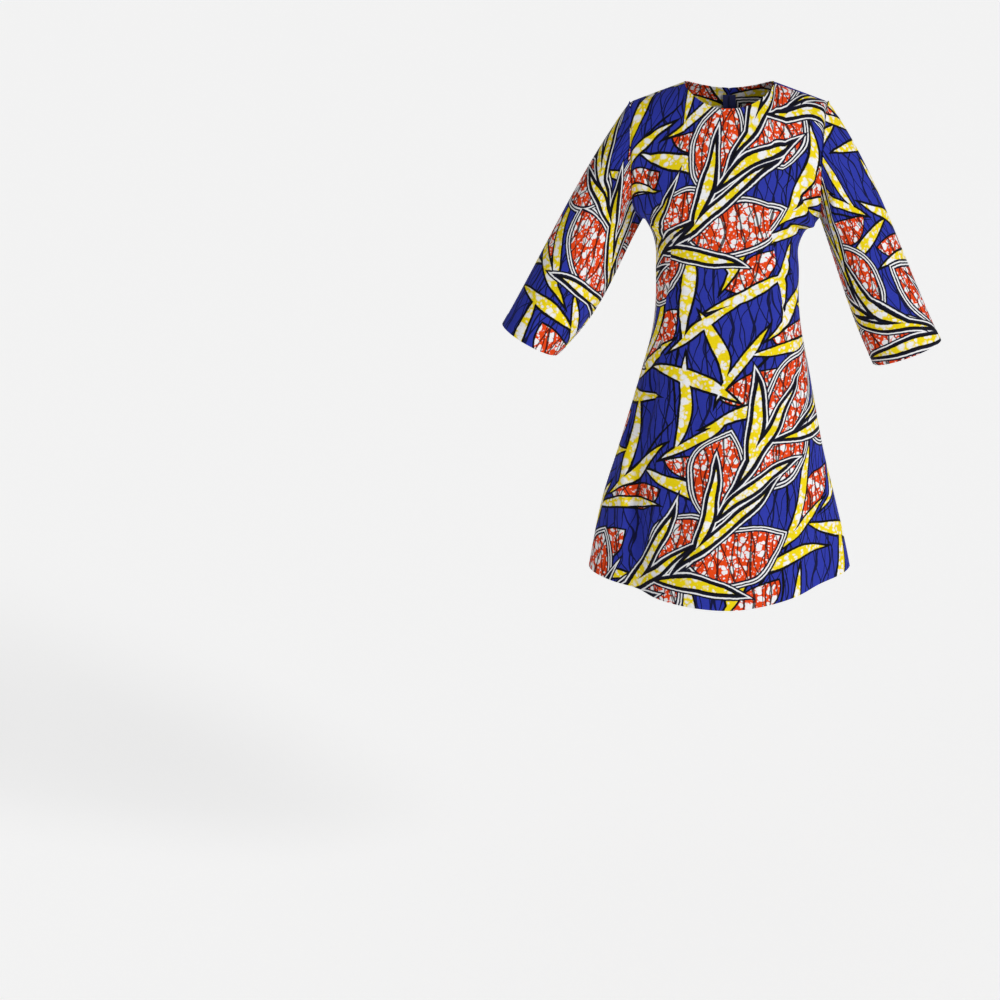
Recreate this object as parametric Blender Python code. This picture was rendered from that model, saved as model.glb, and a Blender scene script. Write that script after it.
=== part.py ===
"""Wax print dress in its hollow, worn shape: front, two back halves, two set-in sleeves and a concealed back zip.

Metres, +Z up. The origin is midway between the two side neck points, where the shoulders hold the dress.
The front faces -Y, the wearer's left is at +X. Angles round the body start at the centre front, and go
through the wearer's left side seam at 90 degrees to the centre back at 180.
"""

import math
from collections import namedtuple

import bpy
import mathutils
import numpy as np

# Cloth
WALL = 0.0016
SEAM_GAP = 0.0003
TAPE_GAP = 0.00045
MITRE_LIMIT = 2.2
SMOOTH_UNDER = 50

# The chest is fullest here, and its depth falls off above in a curve
CHEST_HEIGHT = -0.235

# Neck and shoulders
NECK_HALF_WIDTH = 0.084
SHOULDER_TIP_DROP = 0.036
SHOULDER_HALF_WIDTH = 0.183
FRONT_NECK_DROP = 0.037
BACK_NECK_DROP = 0.020
FRONT_NECK_CURVE = 2.4
BACK_NECK_CURVE = 2.0
FRONT_SHOULDER_CURVE = 2.0
BACK_SHOULDER_CURVE = 3.0

# Armholes: an upright oval, deepest at ARMHOLE_MIDDLE, from the shoulder tip down to the side seam
ARMHOLE_MIDDLE = -0.155
ARMPIT = -0.250
ARMHOLE_FRONT = 0.058
ARMHOLE_BACK = 0.062
ARMHOLE_CURVE = 2.1
CHEST_CURVE = 2.2
SEAM_REACH = 10

# Hem: lowest at the centre front and back, higher at the side seams
HEM_CENTRE = -0.966
HEM_SIDE_RISE = 0.046
HEM_CURVE = 1.6
FOLD_END = -0.93

# Grid of cloth cells
SKIRT_ROWS = 20
UNDERARM_ROWS = 6
SHOULDER_ROWS = 7
SKIRT_ROW_CROWDING = 1.35
SHOULDER_COLUMNS = 9
NECK_COLUMNS = 5
SLEEVE_ROWS = 14
SLEEVE_ROW_CROWDING = 1.12

# A sleeve's cap leaves the armhole outwards and a little down, and its belly hangs lowest past the elbow
CAP_OUT = 0.95
CAP_DOWN = 0.31
BELLY_LOW = 1.5

# Zip
ZIP_TAPE_HALF_WIDTH = 0.012
ZIP_TAPE_THICKNESS = 0.0010
ZIP_LENGTH = 0.50
SLIDER_BELOW_NECK = 0.012
SLIDER_WIDTH = 0.0070
SLIDER_LENGTH = 0.0100
SLIDER_PLATE = 0.0018
SLIDER_OFF_CLOTH = 0.0005
CHEEK_THICKNESS = 0.0012
CHEEK_LENGTH = 0.0044
BAR_RADIUS = 0.0006
BAR_HEIGHT = 0.0042
BAR_COVER = 0.0006
ROD_SIDES = 16
EYE_WIDTH = 0.0028
EYE_HOLE_RADIUS = 0.0010
EYE_RADIUS = 0.0018
EYE_SIDE_GAP = 0.00035
EYE_SIDES = 24
TAB_LENGTH = 0.0220
TAB_END_RADIUS = 0.0028
TAB_THICKNESS = 0.0011
TAB_END_SIDES = 12
TAB_CLEARANCE = 0.0006
TAB_SAMPLES = 24

Section = namedtuple("Section", "height right left front back squareness pinch")
Armhole = namedtuple("Armhole", "angle right left")
Fold = namedtuple("Fold", "name hip_angle hem_angle spread depth start")
Sleeve = namedtuple("Sleeve", "name side out down forward half_width half_depth cuff_tilt lean cap belly")

# Half widths towards the wearer's right and left, and depths to the front and back, at each height.
# Squareness is 2 for an ellipse. Pinch above 1 draws the sides in to an edge, as a hem hangs.
SECTIONS = [
    Section(-1.000, 0.279, 0.240, 0.162, 0.162, 2.1, 1.60),
    Section(-0.918, 0.265, 0.227, 0.156, 0.156, 2.1, 1.55),
    Section(-0.780, 0.236, 0.197, 0.143, 0.144, 2.2, 1.40),
    Section(-0.695, 0.209, 0.177, 0.132, 0.134, 2.3, 1.30),
    Section(-0.597, 0.180, 0.159, 0.118, 0.122, 2.4, 1.20),
    Section(-0.520, 0.158, 0.145, 0.106, 0.108, 2.5, 1.10),
    Section(-0.480, 0.147, 0.137, 0.101, 0.097, 2.6, 1.05),
    Section(-0.415, 0.138, 0.130, 0.098, 0.083, 2.7, 1.00),
    Section(-0.350, 0.137, 0.130, 0.104, 0.083, 2.6, 1.00),
    Section(-0.300, 0.138, 0.130, 0.114, 0.090, 2.5, 1.00),
    Section(-0.275, 0.145, 0.142, 0.1190, 0.0950, 2.3, 1.00),
    Section(-0.250, 0.160, 0.169, 0.1210, 0.0990, 2.2, 1.00),
    Section(-0.235, 0.173, 0.170, 0.1215, 0.1000, 2.2, 1.00),
    Section(-0.200, 0.180, 0.170, 0.1215, 0.1000, 2.2, 1.00),
    Section(-0.155, 0.182, 0.171, 0.1215, 0.1000, 2.2, 1.00),
]

# How far out the armhole seam lies, from the shoulder tip (0) over the front (90) to the armpit (180).
ARMHOLE_SEAM = [
    Armhole(0, 0.183, 0.183),
    Armhole(45, 0.182, 0.176),
    Armhole(90, 0.182, 0.171),
    Armhole(135, 0.179, 0.170),
    Armhole(160, 0.170, 0.1695),
    Armhole(180, 0.160, 0.169),
]

# The skirt's largest folds: a positive depth is a ridge, a negative one a trough, full at the hem.
FOLDS = [
    Fold("front trough", -62, -41, 9, -0.015, -0.48),
    Fold("side ridge", -82, -68, 14, 0.007, -0.50),
    Fold("front left trough", 52, 47, 11, -0.008, -0.56),
    Fold("front left ridge", 66, 70, 14, 0.005, -0.56),
    Fold("front centre ridge", -8, -12, 18, 0.006, -0.60),
    Fold("left back trough", 112, 118, 12, -0.013, -0.54),
    Fold("left back ridge", 136, 143, 14, 0.010, -0.52),
    Fold("right back trough", 252, 244, 11, -0.015, -0.52),
    Fold("right back ridge", 226, 220, 14, 0.010, -0.54),
    Fold("centre back trough", 180, 186, 16, -0.008, -0.60),
]

# The darts give the bodice its fullness over the chest.
BUST_OUT = 0.082
BUST_HEIGHT = -0.232
BUST_SPREAD = 0.052
BUST_FULLNESS = 0.009

SLEEVES = [
    Sleeve("sleeve_right", -1, 0.3720, 0.481, 0.012, 0.0580, 0.0635, 29.3, 29.7, 0.16, 0.016),
    Sleeve("sleeve_left", 1, 0.3330, 0.506, 0.012, 0.0655, 0.0555, 20.0, 25.7, 0.22, 0.003),
]

BLUE = (0.022, 0.035, 0.370)
TAPE_BLUE = (0.010, 0.014, 0.120)
ZIP_GREY = (0.300, 0.310, 0.330)


def clear_scene():
    """Remove every object that the file starts with."""
    for thing in list(bpy.data.objects):
        bpy.data.objects.remove(thing, do_unlink=True)


def material(name, colour, roughness, metallic=0.0):
    """A Principled material of one colour."""
    made = bpy.data.materials.new(name)
    made.use_nodes = True
    shader = made.node_tree.nodes["Principled BSDF"]
    shader.inputs["Base Color"].default_value = (*colour, 1.0)
    shader.inputs["Roughness"].default_value = roughness
    shader.inputs["Metallic"].default_value = metallic
    return made


def smooth_value(table, key, column, at):
    """A table's column at a place between its rows, on a smooth curve through them."""
    keys = np.array([getattr(row, key) for row in table], float)
    values = np.array([getattr(row, column) for row in table], float)
    slopes = np.gradient(values, keys)
    place = float(np.clip(at, keys[0], keys[-1]))
    k = int(np.clip(np.searchsorted(keys, place) - 1, 0, len(keys) - 2))
    step = keys[k + 1] - keys[k]
    t = (place - keys[k]) / step
    rise = t * t * (3 - 2 * t)
    start = slopes[k] * step * t * (1 - t) ** 2
    end = slopes[k + 1] * step * t * t * (1 - t)
    return float(values[k] + (values[k + 1] - values[k]) * rise + start - end)


def smooth_step(t):
    """0 below 0, 1 above 1, and an even curve between."""
    t = min(max(t, 0.0), 1.0)
    return t * t * (3 - 2 * t)


def power(value, exponent):
    """A power of a number that rounding may have made slightly negative."""
    return max(value, 0.0) ** exponent


def fold_offset(angle, height):
    """How far the skirt's folds move the cloth out at an angle and height."""
    total = 0.0
    for fold in FOLDS:
        grown = smooth_step((fold.start - height) / (fold.start - FOLD_END))
        centre = fold.hip_angle + (fold.hem_angle - fold.hip_angle) * grown
        away = (angle - centre + 180) % 360 - 180
        total += fold.depth * grown * math.exp(-((away / fold.spread) ** 2))
    return total


def bust_offset(x, height):
    """How far the bust darts let the front out."""
    across = (abs(x) - BUST_OUT) / BUST_SPREAD
    along = (height - BUST_HEIGHT) / BUST_SPREAD
    return BUST_FULLNESS * math.exp(-(across**2) - along**2)


def hem_height(angle):
    """The hem's height at an angle round the skirt."""
    return HEM_CENTRE + HEM_SIDE_RISE * abs(math.sin(math.radians(angle))) ** HEM_CURVE


def half_widths(angle):
    """The table column that holds the half width on this side."""
    return "left" if math.sin(math.radians(angle)) >= 0 else "right"


def skirt_point(angle, share, front):
    """A point between the hem (share 0) and the armpit (share 1)."""
    low = hem_height(angle)
    height = low + (ARMPIT - low) * share
    turn = math.radians(angle)
    squareness = smooth_value(SECTIONS, "height", "squareness", height)
    width = smooth_value(SECTIONS, "height", half_widths(angle), height)
    depth = smooth_value(SECTIONS, "height", "front" if front else "back", height)
    x = math.copysign(width * power(abs(math.sin(turn)), 2 / squareness), math.sin(turn))
    pinch = smooth_value(SECTIONS, "height", "pinch", height)
    y = depth * power(abs(math.cos(turn)), 2 / squareness * pinch)
    out = fold_offset(angle, height)
    y += out * abs(math.cos(turn))
    if front:
        y += bust_offset(x, height) * abs(math.cos(turn))
    return np.array([x + out * math.sin(turn), -y if front else y, height])


def across_chest(angle, width, squareness):
    """The distance out from the centre, and how much of the chest's extra depth is there."""
    turn = math.radians(angle)
    x = width * power(abs(math.sin(turn)), 2 / squareness)
    round_share = power(abs(math.cos(turn)), 2 / squareness)
    flat_share = 1 - power(x / width, CHEST_CURVE)
    return math.copysign(x, math.sin(turn)), round_share, flat_share


def centre_depth(height, ridge, front):
    """How far the centre line stands out at a height, under a shoulder ridge at another."""
    column = "front" if front else "back"
    full = smooth_value(SECTIONS, "height", column, min(height, CHEST_HEIGHT))
    if height <= CHEST_HEIGHT:
        return full
    curve = FRONT_SHOULDER_CURVE if front else BACK_SHOULDER_CURVE
    share = min((height - CHEST_HEIGHT) / (ridge - CHEST_HEIGHT), 1.0)
    return full * power(1 - share**curve, 1 / curve)


def chest_width(angle, height, seam_angle, squareness):
    """The half width for a column: the armhole seam's at the edge, the smoother table's further in."""
    side = half_widths(angle)
    inner = smooth_value(SECTIONS, "height", side, height)
    seam = smooth_value(ARMHOLE_SEAM, "angle", side, seam_angle)
    edge_share = power(abs(math.sin(math.radians(angle))), 2 / squareness) ** SEAM_REACH
    return inner + (seam - inner) * edge_share


def underarm_point(angle, seam_angle, front):
    """A point level with the armhole's lower quarter, whose seam angle goes from 180 down to 90."""
    seam_turn = math.radians(seam_angle)
    height = ARMHOLE_MIDDLE + (ARMHOLE_MIDDLE - ARMPIT) * math.cos(seam_turn)
    squareness = smooth_value(SECTIONS, "height", "squareness", height)
    width = chest_width(angle, height, seam_angle, squareness)
    x, round_share, flat_share = across_chest(angle, width, squareness)
    centre = centre_depth(height, ridge_height(x), front)
    edge = (ARMHOLE_FRONT if front else ARMHOLE_BACK) * math.sin(seam_turn)
    low = smooth_step((ARMHOLE_MIDDLE - height) / (ARMHOLE_MIDDLE - ARMPIT))
    share = low * round_share + (1 - low) * flat_share
    depth = edge + (centre - edge) * share
    if front:
        depth += bust_offset(x, height) * abs(math.cos(math.radians(angle)))
    return np.array([x, -depth if front else depth, height])


def ridge_height(x):
    """The shoulder seam's height, and the height it would round over to inside the neck."""
    slope = SHOULDER_TIP_DROP / (SHOULDER_HALF_WIDTH - NECK_HALF_WIDTH)
    if abs(x) >= NECK_HALF_WIDTH:
        return -slope * (abs(x) - NECK_HALF_WIDTH)
    return slope * (NECK_HALF_WIDTH**2 - x**2) / (2 * NECK_HALF_WIDTH)


def neck_height(x, front):
    """The neck edge's height at a distance from the centre."""
    drop = FRONT_NECK_DROP if front else BACK_NECK_DROP
    curve = FRONT_NECK_CURVE if front else BACK_NECK_CURVE
    return -drop * (1 - power(min(abs(x) / NECK_HALF_WIDTH, 1.0), curve))


def shoulder_point(angle, share, front):
    """A point between the armhole's middle (share 0) and the shoulder seam or neck edge (share 1)."""
    width = smooth_value(ARMHOLE_SEAM, "angle", half_widths(angle), 90 * (1 - share))
    squareness = SECTIONS[-1].squareness
    x, _, flat_share = across_chest(angle, width, squareness)
    ridge = ridge_height(x)
    top = 1.0
    if abs(x) < NECK_HALF_WIDTH:
        reach = (neck_height(x, front) - ARMHOLE_MIDDLE) / (ridge - ARMHOLE_MIDDLE)
        top = math.asin(min(power(reach, ARMHOLE_CURVE / 2), 1.0)) / (math.pi / 2)
    lift = math.radians(90 * share * top)
    rise = power(math.sin(lift), 2 / ARMHOLE_CURVE)
    height = ARMHOLE_MIDDLE + (ridge - ARMHOLE_MIDDLE) * rise
    edge = (ARMHOLE_FRONT if front else ARMHOLE_BACK) * power(math.cos(lift), 2 / ARMHOLE_CURVE)
    depth = edge + (centre_depth(height, ridge, front) - edge) * flat_share
    if front:
        faded = math.cos(math.radians(90 * share)) ** 2
        depth += bust_offset(x, height) * abs(math.cos(math.radians(angle))) * faded
    return np.array([x, -depth if front else depth, height])


def column_at(angle, front):
    """Every point of the cloth up one column, from the hem to the shoulder seam or neck edge."""
    points = []
    for i in range(SKIRT_ROWS):
        share = 1 - (1 - i / SKIRT_ROWS) ** SKIRT_ROW_CROWDING
        points.append(skirt_point(angle, share, front))
    for i in range(UNDERARM_ROWS):
        points.append(underarm_point(angle, 180 - 90 * i / UNDERARM_ROWS, front))
    for i in range(SHOULDER_ROWS + 1):
        points.append(shoulder_point(angle, i / SHOULDER_ROWS, front))
    return np.array(points)


def neck_angle():
    """The angle of the column that ends at the side neck point."""
    share = NECK_HALF_WIDTH / SHOULDER_HALF_WIDTH
    return math.degrees(math.asin(share ** (SECTIONS[-1].squareness / 2)))


def quarter_angles():
    """The columns from the centre line out to the side seam, as angles from 0 to 90."""
    neck = neck_angle()
    inside = [neck * math.sin(math.pi / 2 * i / NECK_COLUMNS) for i in range(NECK_COLUMNS)]
    outside = [neck + (90 - neck) * i / SHOULDER_COLUMNS for i in range(SHOULDER_COLUMNS + 1)]
    return inside + outside


def at_distance(column, next_column, distance):
    """The column's points moved towards the next one, until they are this far out from the centre line."""
    share = (distance - np.abs(column[:, 0])) / (np.abs(next_column[:, 0]) - np.abs(column[:, 0]))
    return column + (next_column - column) * share[:, None]


def front_grid():
    """The front's outer points, rows from the hem up and columns from the wearer's right side seam."""
    quarter = quarter_angles()
    angles = [-a for a in quarter[:0:-1]] + quarter
    return np.stack([column_at(a, True) for a in angles], axis=1)


def back_grid(side):
    """A back half's outer points, columns in the order that goes round the body from the left side seam."""
    quarter = quarter_angles()
    columns = [column_at(180 - side * a, False) for a in quarter]
    columns[0][:, 0] = 0.0
    zip_edge = at_distance(columns[0], columns[1], ZIP_TAPE_HALF_WIDTH)
    columns.insert(1, zip_edge)
    if side > 0:
        columns.reverse()
    return np.stack(columns, axis=1)


def unit(vectors):
    """Vectors of length one."""
    return vectors / np.linalg.norm(vectors, axis=-1, keepdims=True)


def grid_normals(grid, ring=False):
    """The outward direction at each point of a grid."""
    along = np.gradient(grid, axis=0)
    if ring:
        across = np.roll(grid, -1, axis=1) - np.roll(grid, 1, axis=1)
    else:
        across = np.gradient(grid, axis=1)
    return unit(np.cross(across, along))


def sleeve_grid(sleeve, armhole):
    """A sleeve's outer points: rings from the armhole to the cuff."""
    side = sleeve.side
    tilt, lean = math.radians(sleeve.cuff_tilt), math.radians(sleeve.lean)
    up_out = np.array([side * math.cos(tilt), 0.0, math.sin(tilt)])
    axis = np.array([side * math.sin(lean), 0.0, -math.cos(lean)])
    outward = np.array([side * CAP_OUT, 0.0, -CAP_DOWN])
    centre = np.array([side * sleeve.out, -sleeve.forward, -sleeve.down])
    angles = ring_angles()
    rows = []
    for i in range(SLEEVE_ROWS + 1):
        t = (i / SLEEVE_ROWS) ** SLEEVE_ROW_CROWDING
        ring = []
        for angle, start in zip(angles, armhole):
            turn = math.radians(angle)
            across = np.array([0.0, -sleeve.half_depth * math.sin(turn), 0.0])
            end = centre + up_out * sleeve.half_width * math.cos(turn) + across
            chord = end - start
            length = np.linalg.norm(chord)
            rounding = sleeve.cap * (0.5 + 0.5 * math.cos(turn))
            leave = unit(unit(chord) * (1 - rounding) + outward * rounding) * length
            arrive = unit(unit(chord) + axis) * length
            point = hermite(start, end, leave, arrive, t)
            swell = sleeve.belly * math.sin(math.pi * t**BELLY_LOW) * smooth_step(-math.cos(turn))
            ring.append(point - up_out * swell)
        rows.append(ring)
    return np.array(rows)


def hermite(start, end, leave, arrive, t):
    """A point on the curve that leaves one point and arrives at another in given directions."""
    rise = t * t * (3 - 2 * t)
    first = t * (1 - t) ** 2
    last = -t * t * (1 - t)
    return start + (end - start) * rise + leave * first + arrive * last


def ring_angles():
    """The sleeve's columns: 0 at the shoulder tip, 90 at the front, 180 at the armpit, 270 at the back."""
    top = [90 * i / SHOULDER_ROWS for i in range(SHOULDER_ROWS)]
    low = [90 + 90 * i / UNDERARM_ROWS for i in range(UNDERARM_ROWS)]
    half = top + low
    return half + [180] + [360 - a for a in half[:0:-1]]


def armhole_ring(front_edge, back_edge):
    """The armhole's points from the shoulder tip down the front edge and up the back edge."""
    down = front_edge[SKIRT_ROWS:][::-1]
    up = back_edge[SKIRT_ROWS:]
    return np.concatenate([down, up[1:-1]])


def merge_seam(normals_a, index_a, normals_b, index_b):
    """Give two seam edges one shared direction, so that their rims lie side by side."""
    shared = unit(normals_a[index_a] + normals_b[index_b])
    normals_a[index_a] = shared
    normals_b[index_b] = shared


def moved_in(outer, true_normals, rim_normals, depth):
    """The grid's points moved in through the cloth, along the rims' own directions at its edges."""
    lean = np.sum(true_normals * rim_normals, axis=-1, keepdims=True)
    stretch = np.minimum(1 / np.maximum(lean, 0.1), MITRE_LIMIT)
    return outer - rim_normals * depth * stretch


def make_object(name, vertices, faces, surface, smooth=True):
    """A mesh object with one material."""
    mesh = bpy.data.meshes.new(name)
    mesh.from_pydata([tuple(map(float, v)) for v in vertices], [], faces)
    mesh.materials.append(surface)
    made = bpy.data.objects.new(name, mesh)
    bpy.context.scene.collection.objects.link(made)
    if smooth:
        mesh.shade_smooth()
        mesh.set_sharp_from_angle(angle=math.radians(SMOOTH_UNDER))
    return made


def wall(name, outer, inner, surface, ring=False):
    """A cloth wall between two grids, with rims round its edges."""
    rows, columns = outer.shape[:2]
    vertices = list(outer.reshape(-1, 3)) + list(inner.reshape(-1, 3))
    below = rows * columns
    faces = []
    spans = columns if ring else columns - 1
    for r in range(rows - 1):
        for c in range(spans):
            d = (c + 1) % columns
            a, b = r * columns + c, r * columns + d
            e, f = a + columns, b + columns
            faces.append((a, b, f, e))
            faces.append((below + a, below + e, below + f, below + b))
    for c in range(spans):
        d = (c + 1) % columns
        faces.append((c, below + c, below + d, d))
        last = (rows - 1) * columns
        faces.append((last + c, last + d, below + last + d, below + last + c))
    if not ring:
        for r in range(rows - 1):
            a, e = r * columns, (r + 1) * columns
            faces.append((a, e, below + e, below + a))
            b, f = a + columns - 1, e + columns - 1
            faces.append((b, below + b, below + f, f))
    return make_object(name, vertices, faces, surface)


def slide_in(grid, index, towards, distance):
    """Move an edge of a grid towards the next line of points by a distance."""
    step = unit(grid[towards] - grid[index])
    grid[index] = grid[index] + step * distance


def centre_back_line(back):
    """The outer points up the centre back."""
    return back[:, -1]


def box(name, size, surface):
    """A box round the origin."""
    x, y, z = (v / 2 for v in size)
    corners = [(i * x, j * y, k * z) for i in (-1, 1) for j in (-1, 1) for k in (-1, 1)]
    faces = [(0, 1, 3, 2), (4, 6, 7, 5), (0, 4, 5, 1), (2, 3, 7, 6), (0, 2, 6, 4), (1, 5, 7, 3)]
    return make_object(name, corners, faces, surface, smooth=False)


def rod(name, radius, length, surface, sides=ROD_SIDES):
    """A rod along X round the origin."""
    ends = (-length / 2, length / 2)
    turns = [2 * math.pi * i / sides for i in range(sides)]
    vertices = [(x, radius * math.cos(t), radius * math.sin(t)) for x in ends for t in turns]
    faces = [tuple(range(sides))[::-1], tuple(range(sides, 2 * sides))]
    for i in range(sides):
        j = (i + 1) % sides
        faces.append((i, j, sides + j, sides + i))
    return make_object(name, vertices, faces, surface, smooth=False)


def combine(target, other, operation):
    """Join another solid to the target, or cut it away, and remove it."""
    modifier = target.modifiers.new("combine", "BOOLEAN")
    modifier.operation = operation
    modifier.object = other
    bpy.context.view_layer.objects.active = target
    bpy.ops.object.modifier_apply(modifier=modifier.name)
    bpy.data.objects.remove(other, do_unlink=True)


def slider(surface):
    """The slider in its own frame: X along the bar, Y off the cloth, Z up the zip."""
    body = box("zip_slider", (SLIDER_WIDTH, SLIDER_PLATE, SLIDER_LENGTH), surface)
    body.data.transform(moved(0, SLIDER_OFF_CLOTH + SLIDER_PLATE / 2, 0))
    low = SLIDER_OFF_CLOTH + SLIDER_PLATE / 2
    high = BAR_HEIGHT + BAR_RADIUS + BAR_COVER
    inner = EYE_WIDTH / 2 + EYE_SIDE_GAP
    for side in (-1, 1):
        cheek = box("cheek", (CHEEK_THICKNESS, high - low, CHEEK_LENGTH), surface)
        x = side * (inner + CHEEK_THICKNESS / 2)
        cheek.data.transform(moved(x, (high + low) / 2, 0))
        combine(body, cheek, "UNION")
    bar = rod("bar", BAR_RADIUS, 2 * inner + CHEEK_THICKNESS, surface)
    bar.data.transform(moved(0, BAR_HEIGHT, 0))
    combine(body, bar, "UNION")
    return body


def pull_tab(surface):
    """The tab in its own frame: its eye round the origin, hanging down -Z."""
    eye = rod("zip_pull", EYE_RADIUS, EYE_WIDTH, surface, sides=EYE_SIDES)
    outline = []
    for i in range(TAB_END_SIDES + 1):
        turn = math.pi * i / TAB_END_SIDES
        outline.append((-TAB_END_RADIUS * math.cos(turn), -TAB_LENGTH - TAB_END_RADIUS * math.sin(turn)))
    outline += [(EYE_WIDTH / 2, 0.0), (-EYE_WIDTH / 2, 0.0)]
    count = len(outline)
    half = TAB_THICKNESS / 2
    vertices = [(x, -half, z) for x, z in outline] + [(x, half, z) for x, z in outline]
    faces = [tuple(range(count)), tuple(range(count, 2 * count))[::-1]]
    faces += [(i, count + i, count + (i + 1) % count, (i + 1) % count) for i in range(count)]
    leaf = make_object("leaf", vertices, faces, surface, smooth=False)
    combine(eye, leaf, "UNION")
    hole = rod("hole", EYE_HOLE_RADIUS, 2 * EYE_WIDTH, surface, sides=EYE_SIDES)
    combine(eye, hole, "DIFFERENCE")
    return eye


def moved(x, y, z):
    """A matrix that moves a mesh."""
    return mathutils.Matrix.Translation((x, y, z))


def frame_at(point, up, name):
    """An empty whose Z runs up the zip and whose Y points off the cloth."""
    up = mathutils.Vector(up).normalized()
    across = mathutils.Vector((1.0, 0.0, 0.0))
    off = up.cross(across).normalized()
    turn = mathutils.Matrix((across, off, up)).transposed().to_4x4()
    empty = bpy.data.objects.new(name, None)
    empty.matrix_world = mathutils.Matrix.Translation(tuple(map(float, point))) @ turn
    bpy.context.scene.collection.objects.link(empty)
    return empty


def make_zip(back_left, back_right, tape_normals, cloth_tape, metal):
    """The tape inside the centre-back seam, and the slider and pull tab at its top."""
    line = centre_back_line(back_left).copy()
    line[:, 0] = 0.0
    top = len(line) - 1
    low = top
    run = 0.0
    while run < ZIP_LENGTH:
        run += float(np.linalg.norm(line[low] - line[low - 1]))
        low -= 1
    rows = slice(low, top)
    strip = np.stack([back_left[rows, -2], line[rows], back_right[rows, 1]], axis=1)
    normals = np.repeat(tape_normals[rows][:, None], 3, axis=1)
    outer = strip - normals * (WALL + TAPE_GAP)
    inner = outer - normals * ZIP_TAPE_THICKNESS
    wall("zip_tape", outer, inner, cloth_tape)
    place_slider(line, metal)


def point_down_line(line, distance):
    """The point a distance down the centre back from the neck edge."""
    run = 0.0
    for k in range(len(line) - 1, 0, -1):
        step = float(np.linalg.norm(line[k] - line[k - 1]))
        if run + step >= distance:
            return line[k] + (line[k - 1] - line[k]) * (distance - run) / step
        run += step
    return line[0]


def place_slider(line, metal):
    """Seat the slider on the cloth and hang the tab from its bar, just clear of the cloth below."""
    middle = point_down_line(line, SLIDER_BELOW_NECK)
    above = point_down_line(line, SLIDER_BELOW_NECK - SLIDER_LENGTH / 2)
    below = point_down_line(line, SLIDER_BELOW_NECK + SLIDER_LENGTH / 2)
    up = unit(above - below)
    off = np.cross(up, (1.0, 0.0, 0.0))
    seat = max(float(np.dot(p - middle, off)) for p in (above, middle, below))
    home = frame_at(middle + off * seat, up, "slider_place")
    body = slider(metal)
    body.parent = home
    bar = middle + off * (seat + BAR_HEIGHT)
    reach = TAB_LENGTH + TAB_END_RADIUS
    lift = TAB_THICKNESS / 2 + TAB_CLEARANCE
    plate_top = SLIDER_OFF_CLOTH + SLIDER_PLATE
    under_tab = [middle + off * (seat + plate_top) - up * SLIDER_LENGTH / 2]
    for k in range(1, TAB_SAMPLES + 1):
        under_tab.append(point_down_line(line, SLIDER_BELOW_NECK + reach * k / TAB_SAMPLES))
    leans = []
    for point in under_tab:
        clear = point + off * lift - bar
        leans.append(math.atan2(float(np.dot(clear, off)), float(-np.dot(clear, up))))
    lean = max(leans)
    tab_up = up * math.cos(lean) - off * math.sin(lean)
    hinge = frame_at(bar, tab_up, "pull_hinge")
    tab = pull_tab(metal)
    tab.parent = hinge


def make_dress():
    """Every piece of the dress."""
    cloth = material("wax_print_cotton", BLUE, 0.75)
    tape = material("zip_tape_weave", TAPE_BLUE, 0.85)
    metal = material("zip_metal", ZIP_GREY, 0.35, 1.0)
    front = front_grid()
    backs = {1: back_grid(1), -1: back_grid(-1)}
    front_edge = {-1: 0, 1: -1}
    back_edge = {-1: -1, 1: 0}
    holes = {}
    for side in (-1, 1):
        holes[side] = armhole_ring(front[:, front_edge[side]], backs[side][:, back_edge[side]])
    sleeves = {s.side: sleeve_grid(s, holes[s.side]) for s in SLEEVES}
    sleeves[-1] = sleeves[-1][:, ::-1]
    true_front = grid_normals(front)
    true_backs = {side: grid_normals(backs[side]) for side in (-1, 1)}
    true_sleeves = {side: grid_normals(sleeves[side], ring=True) for side in (-1, 1)}
    rim_front = true_front.copy()
    rim_backs = {side: true_backs[side].copy() for side in (-1, 1)}
    rim_sleeves = {side: true_sleeves[side].copy() for side in (-1, 1)}
    shoulder = SHOULDER_COLUMNS + 1
    for side in (-1, 1):
        side_front = (slice(0, SKIRT_ROWS), front_edge[side])
        side_back = (slice(0, SKIRT_ROWS), back_edge[side])
        merge_seam(rim_front, side_front, rim_backs[side], side_back)
        top_front = slice(0, shoulder) if side < 0 else slice(-shoulder, None)
        top_back = slice(-shoulder, None) if side < 0 else slice(0, shoulder)
        down = rim_front[-1, top_front][::-1].copy()
        shared = unit(down + rim_backs[side][-1, top_back])
        shared[:, 1] = 0.0
        shared = unit(shared)
        rim_backs[side][-1, top_back] = shared
        rim_front[-1, top_front] = shared[::-1]
    centre = unit(rim_backs[1][:, -1] + rim_backs[-1][:, 0])
    centre[:, 0] = 0.0
    centre = unit(centre)
    rim_backs[1][:, -1] = centre
    rim_backs[-1][:, 0] = centre
    for side in (-1, 1):
        join_armhole(
            side, rim_front, front_edge, rim_backs, back_edge, rim_sleeves, true_front, true_backs
        )
    tape_normals = centre.copy()
    inner_front = moved_in(front, true_front, rim_front, WALL)
    inner_backs = {s: moved_in(backs[s], true_backs[s], rim_backs[s], WALL) for s in (-1, 1)}
    inner_sleeves = {s: moved_in(sleeves[s], true_sleeves[s], rim_sleeves[s], WALL) for s in (-1, 1)}
    half = SEAM_GAP / 2
    for grid in (front, inner_front):
        trim(grid, half)
    for side in (-1, 1):
        for grid in (backs[side], inner_backs[side]):
            trim(grid, half)
        for grid in (sleeves[side], inner_sleeves[side]):
            slide_in(grid, 0, 1, half)
    wall("front", front, inner_front, cloth)
    wall("back_left", backs[1], inner_backs[1], cloth)
    wall("back_right", backs[-1], inner_backs[-1], cloth)
    for sleeve in SLEEVES:
        wall(sleeve.name, sleeves[sleeve.side], inner_sleeves[sleeve.side], cloth, ring=True)
    make_zip(backs[1], backs[-1], tape_normals, tape, metal)


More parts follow.
